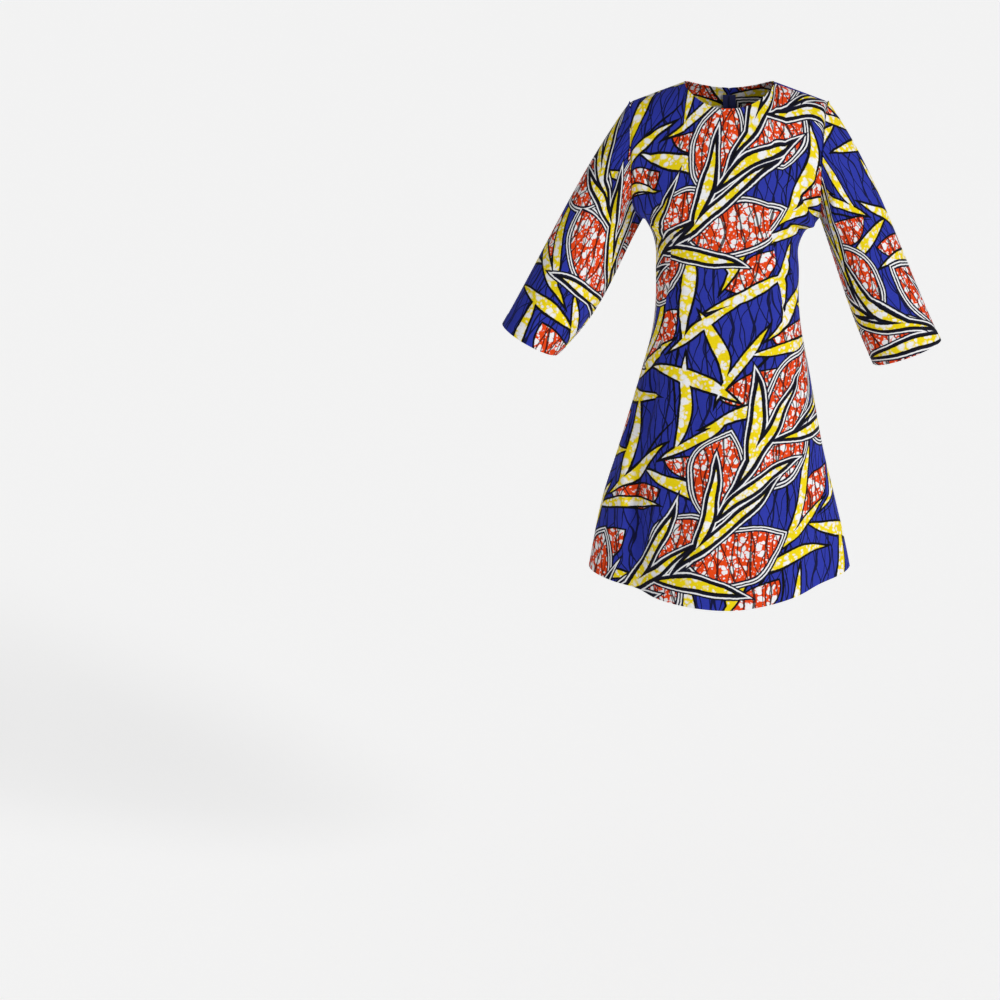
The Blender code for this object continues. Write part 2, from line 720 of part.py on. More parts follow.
def trim(grid, distance):
    """Draw a panel's side and top edges back from the seam lines."""
    for column, towards in ((0, 1), (-1, -2)):
        slide_in(grid, (slice(None), column), (slice(None), towards), distance)
    slide_in(grid, -1, -2, distance)


def join_armhole(side, rim_front, front_edge, rim_backs, back_edge, rim_sleeves, true_front, true_backs):
    """Share the rim directions between a sleeve's first ring and the panels' armhole edges."""
    front_part = true_front[SKIRT_ROWS:, front_edge[side]][::-1]
    back_part = true_backs[side][SKIRT_ROWS:, back_edge[side]]
    body = np.concatenate([front_part, back_part[1:-1]])
    last = len(front_part) - 1
    body[0] = unit(front_part[0] + back_part[-1])
    body[last] = unit(front_part[-1] + back_part[0])
    ring = rim_sleeves[side][0]
    if side < 0:
        ring = ring[::-1]
    shared = unit(body + ring)
    for k in (0, last):
        shared[k, 1] = 0.0
    shared = unit(shared)
    rim_front[SKIRT_ROWS:, front_edge[side]] = shared[: last + 1][::-1]
    rim_backs[side][SKIRT_ROWS:-1, back_edge[side]] = shared[last:]
    rim_backs[side][-1, back_edge[side]] = shared[0]
    rim_sleeves[side][0] = shared[::-1] if side < 0 else shared


clear_scene()
make_dress()
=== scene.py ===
"""Looks of the wax print dress: printed cotton panels with seams and creases, the zip's trim and a studio.

Metres, +Z up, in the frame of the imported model. The front faces -Y and the wearer's left is at +X.
"""

import math
from collections import namedtuple

import bpy
import numpy as np
from mathutils import Matrix, Vector


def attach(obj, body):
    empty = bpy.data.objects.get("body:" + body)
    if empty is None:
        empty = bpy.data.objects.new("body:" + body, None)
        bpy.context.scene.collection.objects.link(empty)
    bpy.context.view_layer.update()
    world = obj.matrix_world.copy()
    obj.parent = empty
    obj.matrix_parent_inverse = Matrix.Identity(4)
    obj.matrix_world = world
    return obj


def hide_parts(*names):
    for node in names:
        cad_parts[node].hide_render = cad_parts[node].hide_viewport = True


bl_info = {
    "name": "Wax print dress",
    "version": (1, 0, 0),
    "blender": (4, 5, 0),
    "location": "3D View > Sidebar > Dress",
    "description": "Printed cotton panels, seams, creases and zip of a wax print dress",
    "category": "Object",
}

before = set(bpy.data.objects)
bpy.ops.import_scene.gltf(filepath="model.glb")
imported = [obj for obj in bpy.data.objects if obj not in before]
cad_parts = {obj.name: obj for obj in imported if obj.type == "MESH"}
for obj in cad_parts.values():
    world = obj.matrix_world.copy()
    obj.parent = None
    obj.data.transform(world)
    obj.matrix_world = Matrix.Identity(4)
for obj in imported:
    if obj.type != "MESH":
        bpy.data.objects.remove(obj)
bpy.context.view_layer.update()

# The cloth's form, as the solids have it
CHEST_HEIGHT = -0.235
NECK_HALF_WIDTH = 0.084
SHOULDER_TIP_DROP = 0.036
SHOULDER_HALF_WIDTH = 0.183
FRONT_NECK_DROP = 0.037
BACK_NECK_DROP = 0.020
FRONT_NECK_CURVE = 2.4
BACK_NECK_CURVE = 2.0
FRONT_SHOULDER_CURVE = 2.0
BACK_SHOULDER_CURVE = 3.0
ARMHOLE_MIDDLE = -0.155
ARMPIT = -0.250
ARMHOLE_FRONT = 0.058
ARMHOLE_BACK = 0.062
ARMHOLE_CURVE = 2.1
CHEST_CURVE = 2.2
SEAM_REACH = 10
HEM_CENTRE = -0.966
HEM_SIDE_RISE = 0.046
HEM_CURVE = 1.6
FOLD_END = -0.93
BUST_OUT = 0.082
BUST_HEIGHT = -0.232
BUST_SPREAD = 0.052
BUST_FULLNESS = 0.009
SKIRT_ROW_CROWDING = 1.35
SLEEVE_ROW_CROWDING = 1.12
CAP_OUT = 0.95
CAP_DOWN = 0.31
BELLY_LOW = 1.5

Section = namedtuple("Section", "height right left front back squareness pinch")
Armhole = namedtuple("Armhole", "angle right left")
Fold = namedtuple("Fold", "name hip_angle hem_angle spread depth start")
Sleeve = namedtuple("Sleeve", "name side out down forward half_width half_depth cuff_tilt lean cap belly")
Layer = namedtuple("Layer", "field low high colour")
Crease = namedtuple("Crease", "name x z to_x to_z bow width depth")
Cut = namedtuple("Cut", "flat area rests_on")
Dart = namedtuple("Dart", "name x z to_x to_z intake")
Branch = namedtuple(
    "Branch", "kind pod_kind x wave phase count length width spread pod_every pod_length pod_width"
)
Leaf = namedtuple("Leaf", "kind x y heading length width bend")
Finish = namedtuple("Finish", "name colour roughness scale unevenness strength height")

SECTIONS = [
    Section(-1.000, 0.279, 0.240, 0.162, 0.162, 2.1, 1.60),
    Section(-0.918, 0.265, 0.227, 0.156, 0.156, 2.1, 1.55),
    Section(-0.780, 0.236, 0.197, 0.143, 0.144, 2.2, 1.40),
    Section(-0.695, 0.209, 0.177, 0.132, 0.134, 2.3, 1.30),
    Section(-0.597, 0.180, 0.159, 0.118, 0.122, 2.4, 1.20),
    Section(-0.520, 0.158, 0.145, 0.106, 0.108, 2.5, 1.10),
    Section(-0.480, 0.147, 0.137, 0.101, 0.097, 2.6, 1.05),
    Section(-0.415, 0.138, 0.130, 0.098, 0.083, 2.7, 1.00),
    Section(-0.350, 0.137, 0.130, 0.104, 0.083, 2.6, 1.00),
    Section(-0.300, 0.138, 0.130, 0.114, 0.090, 2.5, 1.00),
    Section(-0.275, 0.145, 0.142, 0.1190, 0.0950, 2.3, 1.00),
    Section(-0.250, 0.160, 0.169, 0.1210, 0.0990, 2.2, 1.00),
    Section(-0.235, 0.173, 0.170, 0.1215, 0.1000, 2.2, 1.00),
    Section(-0.200, 0.180, 0.170, 0.1215, 0.1000, 2.2, 1.00),
    Section(-0.155, 0.182, 0.171, 0.1215, 0.1000, 2.2, 1.00),
]

ARMHOLE_SEAM = [
    Armhole(0, 0.183, 0.183),
    Armhole(45, 0.182, 0.176),
    Armhole(90, 0.182, 0.171),
    Armhole(135, 0.179, 0.170),
    Armhole(160, 0.170, 0.1695),
    Armhole(180, 0.160, 0.169),
]

FOLDS = [
    Fold("front trough", -62, -41, 9, -0.015, -0.48),
    Fold("side ridge", -82, -68, 14, 0.007, -0.50),
    Fold("front left trough", 52, 47, 11, -0.008, -0.56),
    Fold("front left ridge", 66, 70, 14, 0.005, -0.56),
    Fold("front centre ridge", -8, -12, 18, 0.006, -0.60),
    Fold("left back trough", 112, 118, 12, -0.013, -0.54),
    Fold("left back ridge", 136, 143, 14, 0.010, -0.52),
    Fold("right back trough", 252, 244, 11, -0.015, -0.52),
    Fold("right back ridge", 226, 220, 14, 0.010, -0.54),
    Fold("centre back trough", 180, 186, 16, -0.008, -0.60),
]

SLEEVES = [
    Sleeve("sleeve_right", -1, 0.3720, 0.481, 0.012, 0.0580, 0.0635, 29.3, 29.7, 0.16, 0.016),
    Sleeve("sleeve_left", 1, 0.3330, 0.506, 0.012, 0.0655, 0.0555, 20.0, 25.7, 0.22, 0.003),
]

# The fine cloth grid: its rows and columns, and how far it is eased
SKIRT_ROWS = 216
UNDERARM_ROWS = 34
SHOULDER_ROWS = 62
NECK_COLUMNS = 26
SHOULDER_COLUMNS = 42
SLEEVE_ROWS = 150
SLEEVE_QUARTER_COLUMNS = 29
SEAM_COLUMNS = (0.35, 0.7)
PANEL_EASING = 12
SLEEVE_EASING = 8
EASING_SHARE = 0.5

# Where the halves of the back and the sleeves were cut from the print, from the front's own centre
BACK_PRINT_PLACE = (0.21, 0.17)
SLEEVE_PRINT_PLACE = (0.13, 0.31)

# A turned edge's added layers, how near its end the neck edge stops, and the bend that still shades smooth
HEM_EXTRA = 1.2
NECK_END = 0.001
SMOOTH_UNDER = 60

# Waist darts: a sewn line down each panel, and the width of cloth that it takes in
DARTS = {
    "front": [
        Dart("right waist dart", -0.104, -0.262, -0.131, -0.515, 0.022),
        Dart("left waist dart", 0.070, -0.215, 0.106, -0.440, 0.024),
    ],
    "back_left": [Dart("left back dart", 0.080, -0.255, 0.078, -0.505, 0.024)],
    "back_right": [Dart("right back dart", -0.082, -0.262, -0.080, -0.500, 0.022)],
}
DART_GROOVE = 0.0017

# A dart's line goes on past its ends, where the cloth's columns come back to their own places. Beside the
# groove the cloth sinks a little, then puffs up over some columns.
DART_OVERRUN = 0.5
DART_RUNOUT = 0.35
DART_FULLNESS = 0.8
DART_DEEPENING = 3
DART_LIP = 0.25
DART_PUFF = 0.35
DART_PUFF_COLUMNS = 4.0

# Creases, as each face is seen square on: where they run from and to, and a negative depth for a trough
CREASES = {
    "front": [
        Crease("right armpit drag", -0.160, -0.262, -0.108, -0.196, 0.006, 0.0060, -0.0042),
        Crease("right armpit ridge", -0.150, -0.272, -0.092, -0.222, 0.006, 0.0085, 0.0034),
        Crease("right bust drag", -0.146, -0.300, -0.090, -0.258, 0.004, 0.0070, -0.0026),
        Crease("left armpit drag", 0.168, -0.262, 0.118, -0.178, -0.008, 0.0060, -0.0050),
        Crease("left armpit ridge", 0.160, -0.276, 0.108, -0.206, -0.006, 0.0080, 0.0040),
        Crease("left lower drag", 0.150, -0.288, 0.092, -0.236, -0.005, 0.0065, -0.0036),
        Crease("left chest ridge", 0.158, -0.196, 0.146, -0.110, 0.005, 0.0090, 0.0030),
        Crease("right chest trough", -0.156, -0.210, -0.146, -0.100, -0.006, 0.0080, -0.0026),
        Crease("right waist crease", -0.136, -0.372, -0.070, -0.384, 0.006, 0.0070, -0.0020),
        Crease("left waist crease", 0.128, -0.352, 0.066, -0.372, -0.005, 0.0080, -0.0022),
        Crease("left hip drag", 0.142, -0.470, 0.084, -0.430, 0.006, 0.0090, -0.0020),
        Crease("skirt trough, upper", -0.139, -0.500, -0.163, -0.660, 0.004, 0.0085, -0.0050),
        Crease("skirt trough, lower", -0.166, -0.690, -0.166, -0.940, -0.010, 0.0110, -0.0045),
        Crease("skirt ridge", -0.190, -0.600, -0.206, -0.900, 0.005, 0.0130, 0.0040),
        Crease("skirt soft trough", 0.060, -0.560, 0.092, -0.930, 0.006, 0.0180, -0.0030),
        Crease("skirt soft ridge", -0.030, -0.640, -0.052, -0.950, -0.008, 0.0200, 0.0028),
        Crease("neck drag, right", -0.060, -0.060, -0.118, -0.150, -0.010, 0.0120, -0.0012),
        Crease("neck drag, left", 0.066, -0.066, 0.112, -0.160, 0.010, 0.0130, -0.0014),
        Crease("bust drag, centre right", -0.070, -0.272, -0.020, -0.306, 0.006, 0.0120, -0.0012),
        Crease("bust drag, centre left", 0.058, -0.266, 0.008, -0.318, -0.008, 0.0140, -0.0013),
        Crease("bodice ridge, right", -0.074, -0.300, -0.088, -0.440, -0.004, 0.0110, 0.0014),
        Crease("bodice ridge, left", 0.052, -0.318, 0.070, -0.430, 0.005, 0.0120, 0.0013),
        Crease("waist drag, right", -0.130, -0.420, -0.058, -0.436, -0.007, 0.0070, -0.0014),
        Crease("waist small drag, right", -0.126, -0.338, -0.092, -0.346, 0.003, 0.0050, -0.0011),
        Crease("waist drag, left", 0.124, -0.398, 0.080, -0.408, 0.004, 0.0060, -0.0013),
        Crease("waist small drag, left", 0.126, -0.318, 0.094, -0.330, -0.003, 0.0055, -0.0012),
        Crease("hip soft trough", -0.060, -0.500, -0.086, -0.680, 0.007, 0.0160, -0.0016),
        Crease("hip soft ridge", 0.020, -0.470, 0.028, -0.640, -0.005, 0.0170, 0.0012),
        Crease("hip side drag", 0.150, -0.560, 0.110, -0.510, 0.006, 0.0100, -0.0018),
        Crease("skirt left side trough", 0.150, -0.640, 0.178, -0.920, 0.008, 0.0150, -0.0030),
        Crease("skirt left side ridge", 0.122, -0.700, 0.136, -0.950, -0.006, 0.0140, 0.0020),
        Crease("skirt centre trough", 0.006, -0.760, 0.018, -0.960, 0.005, 0.0210, -0.0022),
        Crease("skirt right trough", -0.092, -0.740, -0.106, -0.955, -0.007, 0.0150, -0.0020),
        Crease("right cap ridge", -0.206, -0.070, -0.244, -0.180, 0.010, 0.0120, 0.0016),
        Crease("right upper sleeve drag", -0.258, -0.190, -0.222, -0.236, 0.004, 0.0090, -0.0018),
        Crease("right forearm crease", -0.318, -0.424, -0.362, -0.380, -0.005, 0.0070, -0.0015),
        Crease("right cuff ridge", -0.318, -0.480, -0.330, -0.430, 0.003, 0.0090, 0.0014),
        Crease("left cap ridge", 0.200, -0.080, 0.232, -0.186, -0.010, 0.0120, 0.0016),
        Crease("left upper sleeve drag", 0.246, -0.200, 0.212, -0.244, -0.004, 0.0090, -0.0018),
        Crease("left forearm crease", 0.300, -0.420, 0.342, -0.382, 0.005, 0.0070, -0.0015),
        Crease("left cuff ridge", 0.300, -0.500, 0.316, -0.446, -0.003, 0.0090, 0.0014),
        Crease("right elbow long crease", -0.250, -0.330, -0.322, -0.318, 0.009, 0.0075, -0.0021),
        Crease("right elbow ridge", -0.262, -0.352, -0.322, -0.336, 0.007, 0.0080, 0.0016),
        Crease("right lower sleeve trough", -0.300, -0.470, -0.352, -0.418, -0.004, 0.0080, -0.0015),
        Crease("right upper sleeve trough", -0.222, -0.160, -0.256, -0.252, -0.006, 0.0100, -0.0017),
        Crease("right inner sleeve small drag", -0.208, -0.232, -0.252, -0.262, 0.004, 0.0055, -0.0016),
        Crease("left elbow long crease", 0.228, -0.338, 0.296, -0.322, -0.009, 0.0075, -0.0021),
        Crease("left elbow ridge", 0.238, -0.360, 0.294, -0.346, -0.006, 0.0080, 0.0016),
        Crease("left lower sleeve trough", 0.276, -0.486, 0.330, -0.446, 0.004, 0.0080, -0.0015),
        Crease("left upper sleeve trough", 0.214, -0.170, 0.240, -0.262, 0.006, 0.0100, -0.0017),
        Crease("left inner sleeve small drag", 0.200, -0.244, 0.238, -0.282, -0.004, 0.0055, -0.0016),
        Crease("right sleeve armpit fold", -0.186, -0.120, -0.204, -0.286, -0.006, 0.0075, -0.0070),
        Crease("right sleeve armpit ridge", -0.202, -0.150, -0.222, -0.270, -0.004, 0.0090, 0.0040),
        Crease("right sleeve inner drag", -0.222, -0.262, -0.286, -0.300, 0.006, 0.0080, -0.0036),
        Crease("right elbow crease", -0.262, -0.372, -0.318, -0.352, 0.006, 0.0080, -0.0036),
        Crease("right elbow small crease", -0.276, -0.402, -0.330, -0.394, -0.004, 0.0065, -0.0026),
        Crease("right forearm drag", -0.290, -0.440, -0.350, -0.392, 0.004, 0.0090, 0.0026),
        Crease("left sleeve armpit fold", 0.172, -0.128, 0.192, -0.298, 0.006, 0.0075, -0.0070),
        Crease("left sleeve armpit ridge", 0.186, -0.160, 0.210, -0.280, 0.004, 0.0090, 0.0038),
        Crease("left sleeve inner drag", 0.206, -0.300, 0.262, -0.258, 0.006, 0.0080, -0.0034),
        Crease("left elbow crease", 0.236, -0.372, 0.292, -0.356, -0.006, 0.0080, -0.0038),
        Crease("left elbow small crease", 0.252, -0.412, 0.302, -0.398, 0.004, 0.0065, -0.0026),
        Crease("left forearm drag", 0.262, -0.470, 0.330, -0.420, 0.004, 0.0090, 0.0024),
    ],
    "back": [
        Crease("right shoulder blade drag", -0.160, -0.262, -0.110, -0.176, 0.006, 0.0070, -0.0044),
        Crease("right back ridge", -0.148, -0.276, -0.096, -0.206, 0.006, 0.0090, 0.0032),
        Crease("left shoulder blade drag", 0.166, -0.258, 0.112, -0.186, -0.006, 0.0070, -0.0046),
        Crease("left back ridge", 0.152, -0.276, 0.094, -0.216, -0.005, 0.0085, 0.0034),
        Crease("back waist crease, right", -0.128, -0.372, -0.020, -0.396, 0.008, 0.0100, -0.0044),
        Crease("back waist fold, right", -0.122, -0.350, -0.034, -0.372, 0.007, 0.0110, 0.0036),
        Crease("back waist crease, left", 0.124, -0.382, 0.018, -0.402, -0.007, 0.0100, -0.0040),
        Crease("back waist fold, left", 0.120, -0.358, 0.030, -0.380, -0.008, 0.0110, 0.0034),
        Crease("back hip crease", 0.132, -0.440, 0.050, -0.428, 0.006, 0.0090, -0.0024),
        Crease("back skirt trough, right", -0.098, -0.560, -0.128, -0.940, 0.006, 0.0150, -0.0040),
        Crease("back skirt trough, left", 0.108, -0.600, 0.118, -0.945, -0.006, 0.0150, -0.0036),
        Crease("right sleeve back fold", -0.190, -0.130, -0.208, -0.280, -0.006, 0.0085, -0.0060),
        Crease("right elbow back crease", -0.268, -0.386, -0.326, -0.360, 0.005, 0.0080, -0.0034),
        Crease("left sleeve back fold", 0.180, -0.136, 0.198, -0.286, 0.006, 0.0085, -0.0058),
        Crease("left elbow back crease", 0.244, -0.398, 0.300, -0.366, -0.005, 0.0080, -0.0034),
    ],
}

# How strong all creases are, the shares of their length over which they start and end, how squarely a point
# has to face them, and how far from a seam the cloth stays calm
CREASE_GAIN = 2.3
CREASE_START = 0.35
CREASE_END = 0.45
CREASE_FACING = 2.5
SEAM_CALM = 0.012

# Zip: the frames of the slider and of the tab's hinge, as in the solids, and the sizes of both
SLIDER_PLACE = ((0.0, 0.07687, -0.0309), (0.0, 0.9045, 0.4265))
HINGE_PLACE = ((0.0, 0.08066, -0.02911), (0.0, 0.9578, 0.2876))
SLIDER_SIZE = (0.0070, 0.0018, 0.0100)
SLIDER_OFF_CLOTH = 0.0005
CHEEK_SIZE = (0.0012, 0.0034, 0.0044)
CHEEK_OUT = 0.00235
BAR_RADIUS = 0.0006
BAR_HEIGHT = 0.0042
EYE_RADIUS = 0.0018
EYE_WALL = 0.0008
EYE_WIDTH = 0.0028
SLIDER_ROUNDING = 0.0006
CHEEK_ROUNDING = 0.0003
BAR_SIDES = 32
EYE_SIDES = 48
TAB_LENGTH = 0.0220
TAB_END_RADIUS = 0.0028
TAB_THICKNESS = 0.0011
TAB_TAPER = 0.55
TAB_TOP_FLATNESS = 0.1
TAB_END_SIDES = 64
MERGE = 0.00001
METAL_SMOOTH_UNDER = 40
COIL_DEPTH = 0.0037
COIL_TOP = 0.016
COIL_LENGTH = 0.48
COIL_PITCH = 0.0013
COIL_STEPS = 8
COIL_HALF_WIDTH = 0.0017
COIL_HALF_HEIGHT = 0.0006
COIL_WIRE = 0.00032

# The zip's finishes: the spots' scale and how far they darken the colour, then the relief's strength, height
FINISHES = {
    "metal": Finish("lacquered_zinc", "#242B80", 0.32, 1400.0, 0.12, 0.4, 0.00003),
    "nylon": Finish("dyed_nylon_coil", "#1C2358", 0.42, 700.0, 0.25, 0.4, 0.00002),
    "tape": Finish("woven_zip_tape", "#232C6E", 0.75, 900.0, 0.35, 0.6, 0.0002),
}
SPOT_RANGE = (0.3, 0.7)
GLOSS_SPREAD = 0.08
TAPE_RIBS = 300.0
TAPE_SLANT = 260.0
TAPE_SHEEN = 0.15

# Print: its repeat, and the branches that climb across it from corner to corner
REPEAT = (0.66, 0.62)
BRANCHES = [
    Branch("plain", "cell", 0.000, 0.022, 0.0, 6, 0.180, 0.0235, 42, 3, 0.140, 0.056),
    Branch("plain", "cell", 0.215, 0.018, 4.0, 6, 0.172, 0.0225, 47, 2, 0.126, 0.050),
    Branch("piped", "pod", 0.445, 0.026, 2.1, 5, 0.172, 0.0165, 30, 1, 0.168, 0.088),
]

# A branch's growth: shares of the step between leaves where they start, and how unevenly they grow
STEM_LEAF_LENGTH = 1.15
STEM_LEAF_WIDTH = 0.8
STEM_LEAF_OUT = -0.008
SIDE_STARTS = {1: 0.15, -1: 0.62}
RHYTHM = (2.4, 1.3, 1.7)
UNEVEN_LEAN = 0.16
UNEVEN_LENGTH = 0.14
UNEVEN_WIDTH = 0.12
UNEVEN_POD = 0.10
LEAF_BEND = 0.45
POD_START = 0.34
POD_LEAN = 0.71
POD_BEND = 0.012
POD_OUT = 0.010
VEIN_LENGTH = 0.260
VEIN_WIDTH = 0.0055
VEIN_TURN = 0.4
VEIN_SPREAD = 0.45
VEIN_BEND = 0.010
VEIN_OUT = 0.030

# What is drawn over the blue ground, in order: a colour where the distance to an outline is in a range
LAYERS = [
    Layer("vein", -1.0, 0.0, "black"),
    Layer("cell", -1.0, 0.0036, "black"),
    Layer("cell", -1.0, 0.0, "orange"),
    Layer("plain", -1.0, 0.0036, "black"),
    Layer("plain", -1.0, -0.0008, "yellow"),
    Layer("pod", -1.0, 0.0145, "navy"),
    Layer("pod", 0.0088, 0.0112, "white"),
    Layer("pod", 0.0034, 0.0060, "white"),
    Layer("pod", -1.0, 0.0, "orange"),
    Layer("piped", -1.0, 0.0118, "navy"),
    Layer("piped", 0.0062, 0.0088, "white"),
    Layer("piped", -1.0, 0.0030, "black"),
    Layer("piped", -1.0, -0.0008, "yellow"),
]
PRINT_EDGE = 0.0003

# Wax bubbles: cell scale, least and added radius as shares of a cell, and how soft their edges are
BUBBLES = {
    "orange": ((72.0, 0.20, 0.36, 0.03), (170.0, 0.16, 0.26, 0.05)),
    "yellow": ((58.0, 0.18, 0.42, 0.09), (120.0, 0.16, 0.34, 0.10)),
}
BUBBLE_BLEED = (75.0, 0.010)

# Hairlines: their turn in degrees and their scale, the wave's shape, its values at their edges, and how dark
HAIRLINES = ((13, 17.0), (-16, 13.0), (4, 9.0))
HAIRLINE_SHAPE = {"Distortion": 7.0, "Detail": 1.0, "Detail Scale": 0.9}
HAIRLINE_EDGE = (0.028, 0.024)
HAIRLINE_STRENGTH = 0.88

# Scale and reach of the sway in hand-cut outlines, and of the waver in their edges
OUTLINE_SWAY = ((9.0, 0.030), (170.0, 0.0016))

# Threads of uneven thickness, up and across the cloth: their scales, and the shades that they print in
SLUB_SCALES = ((1300.0, 60.0, 1.0), (60.0, 1300.0, 1.0))
SLUB_SHADES = {1: 0.35, 2: 0.65, 3: 0.90, 4: 1.02}

# Washed and pressed cotton: nearly no gloss, and the least sheen from the fibres' ends
COTTON_FINISH = {
    "Roughness": 0.72,
    "IOR": 1.45,
    "Specular IOR Level": 0.10,
    "Sheen Weight": 0.015,
    "Sheen Roughness": 0.5,
}
WEAVE_STRENGTH = 0.35
WEAVE_HEIGHT = 0.00015


def linear(hex_colour):
    """An sRGB hex colour as linear red, green, blue and alpha."""
    parts = [int(hex_colour[i : i + 2], 16) / 255 for i in (1, 3, 5)]
    return tuple(p / 12.92 if p <= 0.04045 else ((p + 0.055) / 1.055) ** 2.4 for p in parts) + (1.0,)


def colour_property(name, description, hex_colour):
    """A colour that a user can change."""
    colour = linear(hex_colour)
    return bpy.props.FloatVectorProperty(
        name=name, description=description, default=colour, size=4, subtype="COLOR", min=0, max=1
    )


def length_property(name, description, default):
    """A length that a user can change."""
    return bpy.props.FloatProperty(
        name=name, description=description, default=default, unit="LENGTH", precision=5
    )


def strength_property(name, description, default):
    """A light's strength that a user can change."""
    return bpy.props.FloatProperty(name=name, description=description, default=default, min=0)


class ClothSettings(bpy.types.PropertyGroup):
    """Sizes of the cotton cloth and its seams."""

    thickness: length_property("Thickness", "Thickness of the cotton", 0.0006)
    seam_roll: length_property("Seam roll", "How far a seam's edge rolls in", 0.0015)
    seam_reach: length_property("Seam reach", "How far from the seam the roll begins", 0.0035)
    hem_depth: length_property("Hem depth", "Depth of the turned hem", 0.020)
    neck_depth: length_property("Neck turning", "Depth of the turned neck edge", 0.010)
    thread: length_property("Thread spacing", "Spacing of the threads, drawn coarse", 0.0011)


class PrintSettings(bpy.types.PropertyGroup):
    """Colours of the wax print."""

    blue: colour_property("Blue", "Ground colour", "#2C37A4")
    navy: colour_property("Navy", "Bands round the pods", "#101228")
    black: colour_property("Black", "Outlines and hairlines", "#08080E")
    yellow: colour_property("Yellow", "Leaves", "#EFD60E")
    orange: colour_property("Orange", "Pods", "#E6450F")
    white: colour_property("White", "Undyed cotton in bubbles and piping", "#F0F0F2")


class StudioSettings(bpy.types.PropertyGroup):
    """Floor and light."""

    floor_height: length_property("Floor height", "Height of the floor below the shoulders", -1.66)
    key_strength: strength_property("Key light", "Strength of the light on the dress's left", 1.95)
    fill_strength: strength_property("Fill light", "Strength of the light on the dress's right", 0.32)
    room_light: strength_property("Room light", "Light from all round", 0.30)


def smooth_value(table, key, column, at):
    """A table's column at places between its rows, on a smooth curve through them."""
    keys = np.array([getattr(row, key) for row in table], float)
    values = np.array([getattr(row, column) for row in table], float)
    slopes = np.gradient(values, keys)
    place = np.clip(at, keys[0], keys[-1])
    k = np.clip(np.searchsorted(keys, place) - 1, 0, len(keys) - 2)
    step = keys[k + 1] - keys[k]
    t = (place - keys[k]) / step
    start = slopes[k] * step * t * (1 - t) ** 2
    end = slopes[k + 1] * step * t * t * (1 - t)
    return values[k] + (values[k + 1] - values[k]) * smooth_step(t) + start - end


def smooth_step(t):
    """0 below 0, 1 above 1, and an even curve between."""
    t = np.clip(t, 0.0, 1.0)
    return t * t * (3 - 2 * t)


def power(value, exponent):
    """A power of numbers that rounding may have made slightly negative."""
    return np.maximum(value, 0.0) ** exponent


def unit(vectors):
    """Vectors of length one."""
    return vectors / np.maximum(np.linalg.norm(vectors, axis=-1, keepdims=True), 1e-12)


def fold_offset(angle, height):
    """How far the skirt's folds move the cloth out."""
    total = np.zeros(np.broadcast(angle, height).shape)
    for fold in FOLDS:
        grown = smooth_step((fold.start - height) / (fold.start - FOLD_END))
        centre = fold.hip_angle + (fold.hem_angle - fold.hip_angle) * grown
        away = (angle - centre + 180) % 360 - 180
        total = total + fold.depth * grown * np.exp(-((away / fold.spread) ** 2))
    return total


def bust_offset(x, height):
    """How far the bust darts let the front out."""
    across = (np.abs(x) - BUST_OUT) / BUST_SPREAD
    along = (height - BUST_HEIGHT) / BUST_SPREAD
    return BUST_FULLNESS * np.exp(-(across**2) - along**2)


def hem_height(angle):
    """The hem's height at an angle round the skirt."""
    return HEM_CENTRE + HEM_SIDE_RISE * np.abs(np.sin(np.radians(angle))) ** HEM_CURVE


def by_side(angle, table, key, at):
    """The half width on the wearer's right or left, whichever the angle is on."""
    left = smooth_value(table, key, "left", at)
    right = smooth_value(table, key, "right", at)
    return np.where(np.sin(np.radians(angle)) >= 0, left, right)


def skirt_points(angle, share, front):
    """Points between the hem (share 0) and the armpit (share 1)."""
    low = hem_height(angle)
    height = low + (ARMPIT - low) * share
    turn = np.radians(angle)
    squareness = smooth_value(SECTIONS, "height", "squareness", height)
    width = by_side(angle, SECTIONS, "height", height)
    depth = smooth_value(SECTIONS, "height", "front" if front else "back", height)
    x = np.sign(np.sin(turn)) * width * power(np.abs(np.sin(turn)), 2 / squareness)
    pinch = smooth_value(SECTIONS, "height", "pinch", height)
    y = depth * power(np.abs(np.cos(turn)), 2 / squareness * pinch)
    out = fold_offset(angle, height)
    y = y + out * np.abs(np.cos(turn))
    if front:
        y = y + bust_offset(x, height) * np.abs(np.cos(turn))
    return np.stack([x + out * np.sin(turn), -y if front else y, height], axis=-1)


def across_chest(angle, width, squareness):
    """The distance out from the centre, and how much of the chest's extra depth is there."""
    turn = np.radians(angle)
    x = width * power(np.abs(np.sin(turn)), 2 / squareness)
    round_share = power(np.abs(np.cos(turn)), 2 / squareness)
    flat_share = 1 - power(x / width, CHEST_CURVE)
    return np.sign(np.sin(turn)) * x, round_share, flat_share


def centre_depth(height, ridge, front):
    """How far the centre line stands out at a height, under a shoulder ridge at another."""
    full = smooth_value(SECTIONS, "height", "front" if front else "back", np.minimum(height, CHEST_HEIGHT))
    curve = FRONT_SHOULDER_CURVE if front else BACK_SHOULDER_CURVE
    share = np.clip((height - CHEST_HEIGHT) / (ridge - CHEST_HEIGHT), 0.0, 1.0)
    return full * power(1 - share**curve, 1 / curve)


def chest_width(angle, height, seam_angle, squareness):
    """The half width for a column: the armhole seam's at the edge, the smoother table's further in."""
    inner = by_side(angle, SECTIONS, "height", height)
    seam = by_side(angle, ARMHOLE_SEAM, "angle", seam_angle)
    edge_share = power(np.abs(np.sin(np.radians(angle))), 2 / squareness) ** SEAM_REACH
    return inner + (seam - inner) * edge_share


